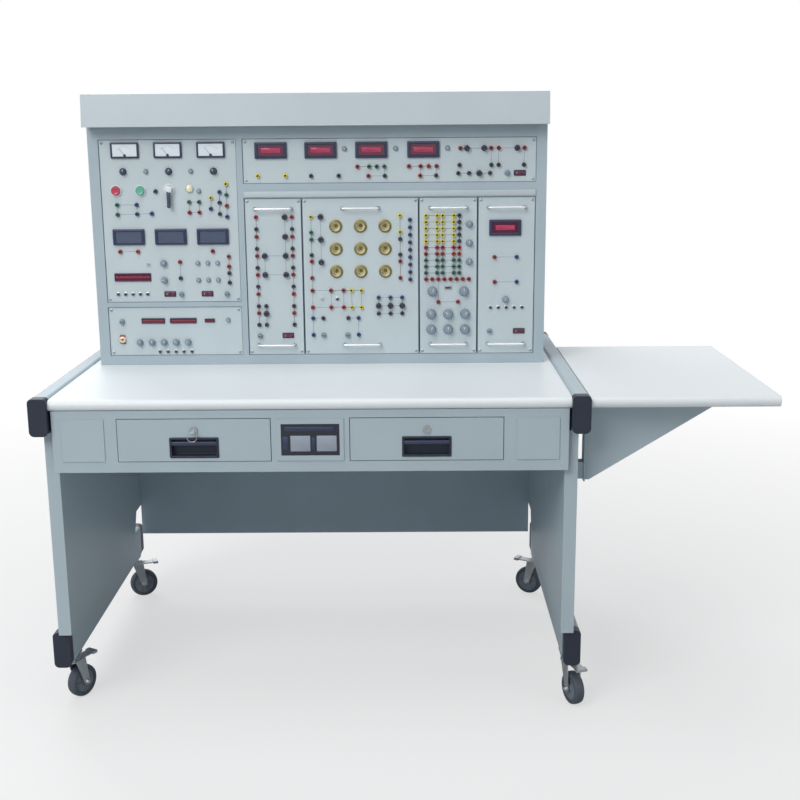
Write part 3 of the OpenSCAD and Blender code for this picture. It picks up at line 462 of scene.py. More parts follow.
# plastic head, metal insert and the bore in painted shade
SOCKET_KINDS = [0] * 7 + [1] * 2 + [2] * 2
SOCKETS = {"red": (RED, "red"), "black": (BLACK, "dark"), "yellow": (YELLOW, "yellow"),
           "green": (GREEN, "green"), "blue": (BLUE, "blue")}


def socket_profile(radius, top, fluted):
    """Plastic head, metal insert and near-black bore of one socket; the bore's colour is painted
    shade.
    """
    return [(radius + SOCKET_FLANGE, 0.0), (radius + SOCKET_FLANGE, 0.7), (radius, 1.1),
            (radius, top - 1.0, fluted), (radius - 0.5, top - 0.2), (radius - SOCKET_RIM, top),
            (INSERT_OUTER, top), (INSERT_OUTER - 0.15, top - INSERT_SUNK),
            (INSERT_INNER, top - INSERT_SUNK), (BORE_RADIUS, top - BORE_SUNK),
            (BORE_RADIUS, BORE_END)]


socket_spots = []
for colour, (plastic, slot) in SOCKETS.items():
    source = colour + "_sockets"
    sockets = Shape()
    for box in islands(source):
        place, wide = face_place(box), size_of(box).x
        large = wide > LARGE_SOCKET
        sockets.turned(towards_user(place), socket_profile(wide / 2, proud_of(box), large),
                       SOCKET_KINDS, flutes=8 if large else 0, depth=0.9)
        socket_spots.append(place)
    sockets.finish(source + "_detail", [plastic, INSERT, BORE_SHADE], BENCH, [source])


# Lamp holders

# how far inside the flange's edge the cup and its thread lie
LAMP_CUP, LAMP_THREAD = 5.3, 5.0
CUP_END, CONTACT_TOP = -14.0, -8.0


def lamp_profile(outer):
    """Flange, raised rim, threaded cup and middle contact of one lamp holder."""
    cup, thread = outer - LAMP_CUP, outer - LAMP_THREAD
    return [(outer, 0.0), (outer, 1.6), (outer - 0.6, 2.6), (outer - 3.2, 3.4),
            (outer - 3.6, 6.0), (outer - 4.2, 6.6), (thread, 6.2), (outer - 5.2, 2.0),
            (thread, 1.2), (cup, 0.0), (thread, -1.6), (cup, -3.0), (thread, -4.6), (cup, -6.0),
            (cup, CUP_END), (4.5, CUP_END), (4.2, CONTACT_TOP - 1.0), (3.6, CONTACT_TOP)]


lamps = Shape()
for box in islands("lamp_holders"):
    lamps.turned(towards_user(face_place(box)), lamp_profile(size_of(box).x / 2),
                 [0] * 6 + [1] * 9 + [0] * 2, count=40)
lamps.finish("lamp_holder_shells", [BRASS, CERAMIC], BENCH, ["lamp_holders"])


# Digital meters and bar displays

# what reaches less deep than this is a bar display
METER_DEEP = 20
METER_OUT, WINDOW_SUNK = 6.0, 2.2
BAR_OUT, BAR_BORDER, BAR_CELLS = 3.0, 6.0, 10
METER_MATERIALS = [BEZEL, CRIMSON, SLATE, RED, DISPLAY]
METER_FRAME, RED_WINDOW, GREY_WINDOW, LIT_CELL, LIT_BAND = range(len(METER_MATERIALS))


def digital_meter(shape, box, window):
    """A bezel with sloped inner walls round a sunken window, and a lighter band in a red one."""
    size, axes = size_of(box), towards_user(face_place(box))
    wide, tall, out = size.x, size.z, METER_OUT
    steps = [(0, 2.0, 0.0), (0, 2.0, out - 1.4), (0.8, 1.8, out - 0.4), (2.4, 1.4, out)]
    opening = [(wide - 13.0, tall - 11.0, 0.8, out),
               (wide - 16.0, tall - 14.0, 0.5, out - WINDOW_SUNK)]
    shape.moulded(axes, stepped(wide, tall, steps) + opening, [METER_FRAME] * 5 + [window])
    if window == RED_WINDOW:
        shape.block(axes, wide * 0.60, tall * 0.30, 3.6, 4.2, 0.8, 0.2, LIT_BAND)


def bar_display(shape, box):
    """A low frame with a row of plain cells behind its window."""
    size, axes = size_of(box), towards_user(face_place(box))
    wide, tall = size.x, size.z
    steps = [(0, 1.2, 0.0), (0, 1.2, BAR_OUT - 0.8), (1.0, 1.0, BAR_OUT), (3.0, 0.6, BAR_OUT),
             (3.6, 0.5, BAR_OUT - 0.6)]
    shape.moulded(axes, stepped(wide, tall, steps), [METER_FRAME] * 4 + [RED_WINDOW])
    pitch = (wide - BAR_BORDER) / BAR_CELLS
    for i in range(BAR_CELLS):
        across = (i - (BAR_CELLS - 1) / 2) * pitch
        shape.block(axes, pitch - 1.0, min(4.0, tall * 0.22), 2.2, 2.9, 0.3, 0.15, LIT_CELL,
                    middle=(across, 0.0))


meter_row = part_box("meter_panel")[0].z
last_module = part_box("module_four")[0].x
digits = Shape()
for box in islands("digital_meters"):
    if size_of(box).y > METER_DEEP:
        red = box[0].z > meter_row or box[0].x > last_module
        digital_meter(digits, box, RED_WINDOW if red else GREY_WINDOW)
    else:
        bar_display(digits, box)
digits.finish("digital_meters_detail", METER_MATERIALS, BENCH, ["digital_meters"])


# Analog meters

DIAL_TICKS, LONG_TICK_EVERY, DIAL_SWEEP = 21, 5, 96
LONG_TICK, SHORT_TICK = 2.6, 1.4
# the needle's pivot below the middle and its reach, as shares of the meter's height
PIVOT_DROP, NEEDLE_REACH = 0.32, 0.56
NEEDLE_TILT = math.radians(38)


def along_ray(axes, pivot, distance, angle):
    """Axes at a distance from the pivot, with up pointing away from it."""
    spot = shifted(axes, distance * math.cos(angle), pivot + distance * math.sin(angle))
    return spun(spot, angle - math.pi / 2)


def analog_meter(shape, box):
    """Bezel, sunken dial with a scale of plain ticks, needle and pivot cap."""
    size, axes = size_of(box), towards_user(face_place(box))
    wide, tall = size.x, size.z
    steps = [(0, 2.5, 0.0), (0, 2.5, 4.6), (1.0, 2.2, 5.7), (2.6, 1.6, 6.0), (8.0, 1.0, 6.0),
             (9.4, 0.6, 4.2)]
    shape.moulded(axes, stepped(wide, tall, steps), [0] * 5 + [1])
    pivot, reach = -tall * PIVOT_DROP, tall * NEEDLE_REACH
    for i in range(DIAL_TICKS):
        angle = math.radians(90 - DIAL_SWEEP / 2 + DIAL_SWEEP * i / (DIAL_TICKS - 1))
        long = SHORT_TICK if i % LONG_TICK_EVERY else LONG_TICK
        shape.block(along_ray(axes, pivot, reach + long / 2, angle), 0.3, long, 4.0, 4.3, 0.1,
                    0.05, 2)
    needle = along_ray(axes, pivot, reach * 0.5, math.pi / 2 + NEEDLE_TILT)
    shape.block(needle, 0.5, reach, 4.4, 4.9, 0.2, 0.1, 2)
    shape.turned(shifted(axes, 0, pivot), [(3.4, 4.2), (3.4, 5.0), (2.8, 5.5)], 2, count=20)


analog = Shape()
for box in islands("analog_meters"):
    analog_meter(analog, box)
analog.finish("analog_meters_detail", [BEZEL, DIAL, INK_DARK], BENCH,
              ["analog_meters"])


# Fuses, handles and screws

fuses = Shape()
for box in islands("fuse_holders"):
    radius, axes = size_of(box).x / 2, towards_user(face_place(box))
    fuses.turned(axes, [(radius + 1.2, 0.0), (radius + 1.2, 1.2), (radius + 0.4, 1.8),
                        (radius, 2.0), (radius, 7.6, True), (radius - 0.8, 8.7),
                        (radius - 1.6, 9.0)], count=48, flutes=12, depth=0.7)
    fuses.block(axes, radius * 1.4, 1.3, 8.9, 9.15, 0.4, 0.1, 1)
fuses.finish("fuse_holders_detail", [KNOB, INK_DARK], BENCH, ["fuse_holders"])

HANDLE_ROD, HANDLE_INSET, HANDLE_BEND, BEND_STEPS = 2.5, 3.5, 5, 6
STUD_PROFILE = [(4.6, 0.0), (4.6, 1.2), (3.9, 2.0), (3.5, 5.4), (2.9, 6.2)]


def handle_path(half_span, reach):
    """Points of a bow handle in mm from its middle: out, round two bends and back."""
    path = []
    for side in (-1, 1):
        half = [Vector((side * half_span, 0, 0))]
        for step in range(BEND_STEPS + 1):
            angle = math.pi / 2 * step / BEND_STEPS
            across = half_span - HANDLE_BEND + HANDLE_BEND * math.cos(angle)
            out = reach - HANDLE_BEND + HANDLE_BEND * math.sin(angle)
            half.append(Vector((side * across, -out, 0)))
        path += half if side < 0 else half[::-1]
    return path


handles = Shape()
for box in islands("module_handles"):
    size, centre = size_of(box), face_place(box)
    half_span = size.x / 2 - HANDLE_INSET
    path = handle_path(half_span, size.y - HANDLE_ROD)
    handles.tube([centre + p * MM for p in path], HANDLE_ROD * MM)
    for side in (-1, 1):
        handles.turned(shifted(towards_user(centre), side * half_span, 0), STUD_PROFILE, 1)
handles.finish("module_handles_detail", [CHROME, ZINC], BENCH, ["module_handles"])

SCREW_TURN = 0.6
screws = Shape()
for box in islands("fixings"):
    radius, axes = size_of(box).x / 2, towards_user(face_place(box), SCREW_TURN)
    screws.turned(axes, [(radius + 0.8, 0.0), (radius + 0.8, 0.4), (radius, 0.6),
                         (radius - 0.1, 1.2), (radius - 0.8, 1.8), (radius - 1.8, 2.0)],
                  count=20)
    for turn in (0.0, math.pi / 2):
        screws.block(spun(axes, turn), 3.2, 0.6, 1.9, 2.1, 0.2, 0.1, 1)
screws.finish("fixings_detail", [ZINC, INK_DARK], BENCH, ["fixings"])


# Small fixed controls

CONTROL_MATERIALS = [KNOB, KNOB_DARK, LIGHT, MAROON, BEZEL, NICKEL, AMBER]
GREY, DARK_GREY, PALE, ROCKER_RED, FRAME, METAL, LENS = range(len(CONTROL_MATERIALS))
# widths and heights in mm that tell the kinds of control apart, and the slack in them
POINTER_WIDE, TRIMMER_WIDE, PRESS_WIDE, LENS_WIDE, SLACK = 18, 11, 9, 20, 0.6
ROCKER_WIDE, ROCKER_TALLEST, SLIDER_WIDE, SLIDER_TALLEST = 30, 18, 20, 12
RING_LEAST, TOGGLE_WIDEST, TOGGLE_NUT_UP = 26, 14, 5
POINTER_TURNS = [-0.7, 0.4, 1.1, -1.6, 2.2, 0.0, -0.3]
# the knobs right under the analog meters are dark ones
DARK_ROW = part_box("analog_meters")[0].z - 60 * MM


def matches(measure, size):
    """Whether a measure is a size, give or take the slack."""
    return abs(measure - size) < SLACK


def pointer_knob(shape, centre, radius, height, turn):
    """A fluted knob with a skirt, a domed top and a pointer line."""
    axes = towards_user(centre, turn)
    body = DARK_GREY if centre.z > DARK_ROW else GREY
    shape.turned(axes, [(radius, 0.2), (radius, 1.8), (radius - 0.9, 2.8), (radius - 1.9, 3.2),
                        (radius - 2.1, height - 1.6, True), (radius - 3.0, height - 0.4),
                        (radius - 4.4, height)], body, count=48, flutes=12, depth=0.9)
    shape.block(axes, 1.3, radius - 3.4, height - 0.2, height + 0.35, 0.4, 0.2, PALE,
                middle=(0.0, (radius - 3.4) / 2 + 0.6))


def trimmer(shape, centre, radius, out):
    """A small fluted knob with a slot line."""
    shape.turned(towards_user(centre), [(radius + 0.8, 0), (radius + 0.8, 0.8), (radius, 1.2),
                                        (radius, out - 2.0, True), (radius - 1.0, out - 0.5),
                                        (radius - 2.6, out)], GREY, count=36, flutes=9,
                 depth=0.6)
    shape.block(towards_user(centre, 0.5), 1.0, 5.0, out - 0.1, out + 0.25, 0.4, 0.1, PALE)


def press_button(shape, axes, radius, out):
    """A small dark button in a plated ring."""
    shape.turned(axes, [(radius + 1.0, 0), (radius + 1.0, 0.8), (radius + 0.2, 1.2)], METAL)
    shape.turned(axes, [(radius - 0.6, 0.9), (radius - 0.6, out - 1.0),
                        (radius - 1.2, out - 0.3), (radius - 2.6, out)], DARK_GREY)


def rocker_switch(shape, axes, wide, tall):
    """A framed rocker that lies across, high on its left and low on its right."""
    steps = [(0, 1.6, 0.0), (0, 1.6, 1.4), (0.8, 1.4, 2.0), (3.4, 0.8, 2.0), (3.8, 0.6, 1.2)]
    shape.moulded(axes, stepped(wide, tall, steps), FRAME)
    inner = wide - 4.4
    for side, lift in ((-1, 3.2), (1, 1.4)):
        shape.block(axes, inner / 2, tall - 4.4, 1.0, 1.2 + lift, 0.6, 0.5, ROCKER_RED,
                    middle=(side * inner / 4, 0.0))
    shape.block(axes, 0.8, 4.6, 4.2, 4.55, 0.3, 0.1, PALE, middle=(-wide / 4, 0.0))


def slide_switch(shape, axes, wide, tall, out):
    """A plated plate with a slot and a slider in it."""
    shape.moulded(axes, [(wide, tall, 0.8, 0.0), (wide, tall, 0.8, 1.0),
                         (wide - 0.8, tall - 0.8, 0.6, 1.4), (13.0, 4.6, 0.5, 1.4),
                         (12.8, 4.4, 0.4, 0.4)], [METAL] * 3 + [DARK_GREY] * 2)
    shape.block(axes, 5.0, 4.2, 0.4, out, 0.4, 0.4, DARK_GREY, middle=(-3.2, 0.0))


def indicator(shape, axes, radius, out):
    """A domed pale lens in a plated ring."""
    lens = radius - 1.6
    shape.turned(axes, [(radius, 0), (radius, 2.2), (radius - 1.0, 3.0)], METAL, count=36)
    shape.turned(axes, [(lens, 2.6), (lens, 5.0), (radius - 2.4, 7.2), (radius - 5.0, 8.6),
                        (radius - 8.0, out)], LENS, count=36)


def toggle(shape, base):
    """Nut, collar and lever of a toggle switch."""
    shape.turned(base, [(5.6, 0.0), (5.6, 1.4), (5.2, 1.8)], METAL, count=6)
    shape.turned(base, [(3.6, 1.6), (3.6, 3.4), (2.6, 4.0)], METAL)
    shape.turned(spun(base, math.radians(-25), "X"),
                 [(1.2, 3.0), (1.3, 7.0), (1.9, 12.0), (1.6, 13.6), (0.8, 14.2)], METAL, count=20)


def bezel_ring(shape, axes, radius, out):
    """The ring round a push button or the key switch."""
    inner = radius - 3.5
    shape.turned(axes, [(radius, 0.0), (radius, 1.6), (radius - 0.6, 2.2),
                        (radius - 1.0, out - 0.7), (radius - 1.8, out), (inner + 0.5, out),
                        (inner, out - 0.6), (inner, 0.0)], PALE, count=48)


def rocker_bezel(shape, axes, wide, tall):
    """The open frame round the signal rocker."""
    steps = [(0, 1.2, 0.0), (0, 1.2, 1.4), (0.8, 1.0, 2.0), (5.6, 0.8, 2.0), (5.9, 0.6, 0.1)]
    shape.moulded(axes, stepped(wide, tall, steps), FRAME)


controls = Shape()
pointer_spots = []
for number, box in enumerate(islands("small_controls")):
    size, centre, out = size_of(box), face_place(box), proud_of(box)
    axes, wide, tall = towards_user(centre), size.x, size.z
    if matches(wide, POINTER_WIDE) and matches(tall, POINTER_WIDE):
        pointer_knob(controls, centre, wide / 2, out, POINTER_TURNS[number % len(POINTER_TURNS)])
        pointer_spots.append(centre)
    elif matches(wide, TRIMMER_WIDE) and matches(tall, TRIMMER_WIDE):
        trimmer(controls, centre, wide / 2, out)
    elif matches(wide, PRESS_WIDE) and matches(tall, PRESS_WIDE):
        press_button(controls, axes, wide / 2, out)
    elif matches(wide, ROCKER_WIDE) and tall < ROCKER_TALLEST:
        rocker_switch(controls, axes, wide, tall)
    elif matches(wide, SLIDER_WIDE) and tall < SLIDER_TALLEST:
        slide_switch(controls, axes, wide, tall, out)
    elif matches(wide, LENS_WIDE):
        indicator(controls, axes, wide / 2, out)
    elif wide < TOGGLE_WIDEST and tall > PRESS_WIDE:
        centre.z = box[0].z + TOGGLE_NUT_UP * MM
        toggle(controls, towards_user(centre))
    elif tall > RING_LEAST and wide > RING_LEAST:
        bezel_ring(controls, axes, wide / 2, out)
    else:
        rocker_bezel(controls, axes, wide, tall)
controls.finish("small_controls_detail", CONTROL_MATERIALS, BENCH, ["small_controls"])


# Resistor knobs and push buttons

RESISTOR_KNOBS = [f"resistor_knob_{number}" for number in range(1, 9)]
SHAFT_RADIUS, SHAFT_END = 3.0, -12.0
# the pointers stand at five different angles in turn
FIRST_TURN, TURN_STEP, TURNS = -0.7, 0.35, 5
for number, name in enumerate(RESISTOR_KNOBS, 1):
    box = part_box(name)
    radius, out = size_of(box).x / 2, proud_of(box)
    axes = towards_user(face_place(box), FIRST_TURN + TURN_STEP * (number % TURNS))
    knob = Shape()
    knob.turned(axes, [(SHAFT_RADIUS, SHAFT_END), (SHAFT_RADIUS, 0.4), (radius, 0.5), (radius, 2.2),
                       (radius - 1.2, 3.4), (radius - 2.8, 4.0), (radius - 3.1, out - 3.0, True),
                       (radius - 4.2, out - 0.9), (radius - 6.4, out - 0.2),
                       (radius - 9.0, out)], count=72, flutes=12, depth=1.3, start=True)
    knob.block(axes, 1.5, radius - 4.2, out - 0.5, out + 0.2, 0.5, 0.2, 1,
               middle=(0.0, (radius - 4.2) / 2 + 0.8))
    knob.finish(name + "_detail", [KNOB, LIGHT], name, [name])

for name, plastic, slot in (("stop_button", SCARLET, "red"), ("start_button", JADE, "green")):
    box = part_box(name)
    radius, out = size_of(box).x / 2, proud_of(box)
    button = Shape()
    button.turned(towards_user(face_place(box)),
                  [(radius - 4.0, -14.0), (radius - 4.0, -0.5), (radius, 0.0),
                   (radius, out - 1.6), (radius - 0.5, out - 0.5), (radius - 1.4, out),
                   (radius - 2.4, out - 0.1), (radius - 4.5, out - 0.8),
                   (radius - 8.0, out - 1.3), (0.4, out - 1.5)], count=48, start=True)
    button.finish(name + "_detail", [plastic], name, [name])


# Key switch and signal rocker

BOW_LENGTH, BOW_DROP, BALL_DROP = 54.0, 19.0, 41.0
GRIP_TURN = math.radians(-18)
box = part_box("key_switch")
radius = size_of(box).x / 2
axes = towards_user(Vector((face_place(box).x, FACE, box[1].z - radius * MM)))
selector = Shape()
selector.turned(axes, [(radius, -12.0), (radius, 8.4), (radius - 0.6, 9.6), (radius - 1.8, 10.2),
                       (5.0, 10.2)], count=40, start=True)
selector.moulded(axes, [(9.0, BOW_LENGTH, 4.4, 9.8), (9.0, BOW_LENGTH, 4.4, 13.4),
                        (8.2, BOW_LENGTH - 0.8, 4.0, 14.4), (6.0, BOW_LENGTH - 3.0, 2.9, 15.0)],
                 1, start=True, middle=(0.0, -BOW_DROP))
selector.block(spun(axes, GRIP_TURN), 17.5, 15.0, 9.8, 16.0, 3.0, 1.4, 0, middle=(0.0, 1.0))
selector.turned(shifted(axes, 0, -BALL_DROP), [(4.4, 14.0), (5.0, 15.2), (4.6, 17.0), (2.6, 17.8)],
                1)
selector.finish("key_switch_detail", [LIGHT, KNOB_DARK], "key_switch", ["key_switch"])

DRUM_STEPS, DRUM_FROM, DRUM_SWEEP = 24, 156, 228
# the drum ends here, and the pressed face starts
DRUM_CUT = 4.4 * MM
# across as a share of the drum's radius, and out in mm, from the top edge to the valley
VALLEY = ((0.90, 4.6), (0.45, 3.7), (0.0, 3.0), (-0.45, 3.7), (-0.90, 4.6))
DRUM_EDGE = 0.7 * MM
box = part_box("signal_rocker")
size = size_of(box)
half, radius = size.x / 2 * MM, size.z / 2 * MM
angles = [math.radians(DRUM_FROM + DRUM_SWEEP * i / DRUM_STEPS) for i in range(DRUM_STEPS + 1)]
drum = [(radius * math.cos(angle), radius * math.sin(angle)) for angle in angles]
profile = [p for p in drum if p[1] < DRUM_CUT] + [(radius * u, v * MM) for u, v in VALLEY]
loops = []
for across, inset in ((-half, DRUM_EDGE), (DRUM_EDGE - half, 0.0), (half - DRUM_EDGE, 0.0),
                      (half, DRUM_EDGE)):
    shrink = 1 - inset / radius
    loops.append([(across, -u * shrink, v * shrink) for u, v in profile])
rocker = Shape()
rocker.rings(towards_user(face_place(box)), loops, start=True)
rocker.finish("signal_rocker_detail", [SCARLET], "signal_rocker", ["signal_rocker"])


# Drawer pulls and nameplate

# from the top of the pull to the middle of its finger bar
FINGER_BAR_DROP = 14.5
for side in ("left", "right"):
    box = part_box(side + "_pull")
    size, axes = size_of(box), towards_user(middle_of(box, box[0].y))
    wide, deep, tall = size
    pull = Shape()
    # cup from behind, flange, rounded lip and the inside of the cup
    steps = [(6, 2.0, -deep), (6, 2.0, -2.0), (0, 3.0, -2.0), (0, 3.0, -1.0), (0.8, 2.6, -0.3),
             (2.4, 2.2, 0.0), (9.0, 2.0, 0.0), (10.0, 2.0, -1.0), (11.0, 2.5, 2.0 - deep)]
    pull.moulded(axes, stepped(wide, tall, steps), start=True)
    pull.block(axes, wide - 10, 9.0, -3.0, -0.1, 1.5, 1.2, 1,
               middle=(0.0, tall / 2 - FINGER_BAR_DROP))
    pull.finish(side + "_pull_detail", [CAP, BEZEL], side + "_drawer", [side + "_pull"])

# place across and up, width and height as shares of the plate, and which finish
CELL_LAYOUT = [(-0.02, 0.34, 0.84, 0.14, 0), (-0.43, -0.12, 0.09, 0.44, 0),
               (-0.17, -0.12, 0.34, 0.50, 1), (0.05, -0.12, 0.06, 0.38, 0),
               (0.28, -0.12, 0.34, 0.50, 1)]
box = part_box("nameplate")
axes = towards_user(middle_of(box, box[0].y))
plate_wide, plate_tall = size_of(box).x, size_of(box).z
cells = Shape()
for across, rise, wide, tall, kind in CELL_LAYOUT:
    cells.block(axes, plate_wide * wide, plate_tall * tall, -0.2, 0.35, 0.8, 0.2, kind,
                middle=(across * plate_wide, rise * plate_tall))
cells.finish("nameplate_cells", [BEZEL, CELL], BENCH)


# Casters

CORNERS = ("front_left", "front_right", "rear_left", "rear_right")
WHEEL_BORE, BOSS_HALF, HUB_HALF, TREAD_HALF = 4.1, 12.8, 9.0, 13.0
RIB_COUNT = 6
# radius and distance out of washer, nut and axle end, and how many sides each has
AXLE_END = (([(7.4, 17.9), (7.4, 18.8), (7.0, 19.2)], 28),
            ([(6.4, 19.0), (6.4, 22.4), (5.6, 23.4)], 6),
            ([(3.6, 23.0), (3.6, 25.0), (3.0, 25.6)], 20))


def wheel_axes(joint):
    """Axes at the middle of a wheel, with out along its axle."""
    axle = Vector(joint["axis"]).normalized()
    across = axle.cross(Vector((0, 0, 1))).normalized()
    up = axle.cross(across).normalized()
    turn = Matrix((across, up, axle)).transposed().to_4x4()
    return Matrix.Translation(Vector(joint["pos_m"])) @ turn


def both_faces(axes):
    """The axes of a wheel's two faces."""
    return spun(axes, math.pi, "X"), axes


def wheel_profile(radius):
    """Boss, dished hub and round tread, from one face of the bore round to the other."""
    half = [(WHEEL_BORE, BOSS_HALF), (10.0, BOSS_HALF), (10.4, 12.0), (11.0, HUB_HALF + 0.4),
            (24.0, HUB_HALF), (28.5, HUB_HALF + 0.6), (29.4, 12.4), (31.0, TREAD_HALF),
            (radius - 4.6, 12.4), (radius - 1.8, 10.6), (radius - 0.5, 7.0), (radius, 2.5)]
    return [(r, -h) for r, h in half] + half[::-1] + [(WHEEL_BORE, -BOSS_HALF)]


for corner in CORNERS:
    joint = next(j for j in frame["joints"] if j["name"] == corner + "_wheel_turn")
    axes = wheel_axes(joint)
    wheel = Shape()
    wheel.turned(axes, wheel_profile(size_of(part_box(corner + "_wheel")).z / 2),
                 [1] * 5 + [0] * 12 + [1] * 7, count=56, end=False)
    for number in range(RIB_COUNT):
        for rib in both_faces(spun(axes, 2 * math.pi * number / RIB_COUNT)):
            wheel.block(rib, 15.0, 3.0, HUB_HALF - 0.4, 11.4, 0.8, 0.6, 1, middle=(19.0, 0.0))
    wheel.finish(corner + "_wheel_detail", [TYRE, HUB], corner + "_wheel",
                 [corner + "_wheel"])
    nuts = Shape()
    for face in both_faces(axes):
        for profile, count in AXLE_END:
            nuts.turned(face, profile, count=count)
    nuts.finish(corner + "_axle_nuts", [ZINC], corner + "_fork")


# Printed marks on the panels, and painted shadow lines round them

INK_HEIGHT, LINE_WIDE, TICK_WIDE, TICK_LONG, SEAM_SHADOW_WIDE = 0.12, 0.8, 0.6, 2.6, 1.4
# how exactly two sockets line up, and how far apart they are, when a line joins them
IN_LINE, NEAR, FAR = 1.5 * MM, 20 * MM, 60 * MM
# radius in mm, count and sweep in degrees of the ticks round a knob
RESISTOR_TICKS, POINTER_TICKS = (15.0, 11, 300.0), (11.0, 7, 240.0)
PANEL_NAMES = ("power_panel", "signal_panel", "meter_panel", "module_one", "module_two",
               "module_three", "module_four")
marks = Shape()


def line(start, end, width, kind=0):
    """A line on the panels between two points of the face: ink with kind 0, painted shadow with
    kind 1.
    """
    middle = (start + end) / 2
    length = (end - start).length / MM
    angle = math.atan2(end.z - start.z, end.x - start.x)
    axes = towards_user(Vector((middle.x, FACE, middle.z)), angle)
    marks.block(axes, length, width, 0.0, INK_HEIGHT, 0.1, 0.04, kind)


def dial_ticks(centre, radius, count, sweep):
    """Plain ticks round a knob, open at the bottom."""
    for i in range(count):
        angle = math.radians(90 + sweep / 2 - sweep * i / (count - 1))
        ray = Vector((math.cos(angle), 0, math.sin(angle)))
        line(centre + ray * radius * MM, centre + ray * (radius + TICK_LONG) * MM, TICK_WIDE)


def seam_shadow(box):
    """A painted shadow line round a panel, in the seam where it meets the frame."""
    size, centre = size_of(box), face_place(box)
    half_w, half_h = (size.x - SEAM_SHADOW_WIDE) / 2 * MM, (size.z - SEAM_SHADOW_WIDE) / 2 * MM
    corners = [centre + Vector((sx * half_w, 0, sz * half_h))
               for sx, sz in ((-1, -1), (1, -1), (1, 1), (-1, 1))]
    for i in range(4):
        line(corners[i], corners[(i + 1) % 4], SEAM_SHADOW_WIDE, 1)


def panel_at(point):
    """The panel that a point on the face belongs to."""
    for name in PANEL_NAMES:
        low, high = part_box(name)
        if low.x < point.x < high.x and low.z < point.z < high.z:
            return name
    return None


def joined(first, second):
    """Whether two sockets are close in one row or column of the same panel."""
    across, up = abs(second.x - first.x), abs(second.z - first.z)
    in_column = across < IN_LINE and NEAR < up < FAR
    in_row = up < IN_LINE and NEAR < across < FAR
    return (in_column or in_row) and panel_at(first) == panel_at(second)


for first, second in itertools.combinations(socket_spots, 2):
    if joined(first, second):
        line(first, second, LINE_WIDE)
for name in RESISTOR_KNOBS:
    dial_ticks(face_place(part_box(name)), *RESISTOR_TICKS)
for place in pointer_spots:
    dial_ticks(place, *POINTER_TICKS)
# painted shadow lines round every panel
for name in PANEL_NAMES:
    seam_shadow(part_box(name))
marks.finish("panel_marks", [INK, SEAM_SHADOW], BENCH)

DIVIDER_TALL, DIVIDER_LIFT, DIVIDER_OUT = 15.0, 2, 4.0
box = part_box("meter_panel")
place = middle_of(box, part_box("console_frame")[0].y)
place.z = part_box("module_two")[1].z + (DIVIDER_TALL / 2 + DIVIDER_LIFT) * MM
divider = Shape()
divider.block(towards_user(place), size_of(box).x, DIVIDER_TALL, -0.5, DIVIDER_OUT, 2.0, 2.0)
divider.finish("divider_bar", [COVER], BENCH)


# Back of the console

TRIM_MARGIN, TRIM_WIDE, TRIM_OUT = 14.0, 22.0, 1.8
SCREW_COLUMNS, SCREW_MARGIN = 5, 8
# places from the shell's lower corner on its left as seen from the front
INLET_ACROSS, EARTH_ACROSS, INLET_UP = 0.10, 0.18, 0.075
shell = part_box("console_shell")
shell_low, shell_high = shell
shell_x, shell_z = (shell_low.x + shell_high.x) / 2, (shell_low.z + shell_high.z) / 2
shell_wide, shell_tall = size_of(shell).x, size_of(shell).z
rear = Shape()


def away_from_user(x, z):
    """Axes for a piece on the back of the console."""
    turn = Matrix.Rotation(math.pi, 4, "Z")
    return Matrix.Translation((x, shell_high.y, z)) @ turn @ towards_user(Vector((0, 0, 0)))


def trim_screw(spot):
    """A domed screw with its slot."""
    rear.turned(spot, [(4.6, TRIM_OUT - 0.1), (4.6, 2.4), (3.8, 3.4), (1.8, 4.2)], 1, count=20)
    rear.block(spot, 5.2, 0.9, 3.9, 4.3, 0.2, 0.1, 2)


def mains_inlet(spot):
    """A flanged inlet with a sunken mouth and three pins."""
    rear.moulded(spot, [(62, 34, 4, 0.0), (62, 34, 4, 2.0), (60, 32, 3.4, 3.2),
                        (34, 24, 5, 3.2), (33, 23, 5, 2.6), (32, 22, 5, 0.4)], 2)
    for across, up in ((-7, -2), (0, 3), (7, -2)):
        rear.block(spot, 2.0, 6.5, 0.3, 2.4, 0.3, 0.2, 1, middle=(across, up))


def earth_terminal(spot):
    """Washer, nut and stud."""
    rear.turned(spot, [(8.0, 0.0), (8.0, 1.0), (7.4, 1.6)], 1, count=28)
    rear.turned(spot, [(6.6, 1.4), (6.6, 6.0), (5.8, 6.8)], 1, count=6)
    rear.turned(spot, [(3.0, 6.6), (3.0, 14.0), (2.4, 14.8)], 1, count=20)


trim_rows = [shell_z + lift * (shell_tall / 2 - TRIM_MARGIN) * MM for lift in (-1, 0, 1)]
for row in trim_rows:
    rear.block(away_from_user(shell_x, row), shell_wide - 2 * TRIM_MARGIN, TRIM_WIDE, -0.2,
               TRIM_OUT, 3.0, 1.2)
for side in (-1, 1):
    rear.block(away_from_user(shell_x + side * (shell_wide / 2 - TRIM_MARGIN) * MM, shell_z),
               TRIM_WIDE, shell_tall - 2 * TRIM_MARGIN - TRIM_WIDE, -0.2, TRIM_OUT, 3.0, 1.2)
for column in range(SCREW_COLUMNS):
    across = (column - (SCREW_COLUMNS - 1) / 2) * (shell_wide / (SCREW_COLUMNS - 1) - SCREW_MARGIN)
    for row in trim_rows:
        trim_screw(away_from_user(shell_x + across * MM, row))
mains_inlet(away_from_user(shell_low.x + INLET_ACROSS, shell_low.z + INLET_UP))
earth_terminal(away_from_user(shell_low.x + EARTH_ACROSS, shell_low.z + INLET_UP))
rear.finish("console_back_trim", [PAINT, ZINC, DARK], BENCH)


# Floor and background

FLOOR_RADIUS, FLOOR_SIDES = 40.0, 96
FLOOR_COLOUR = (0.66, 0.67, 0.68, 1.0)
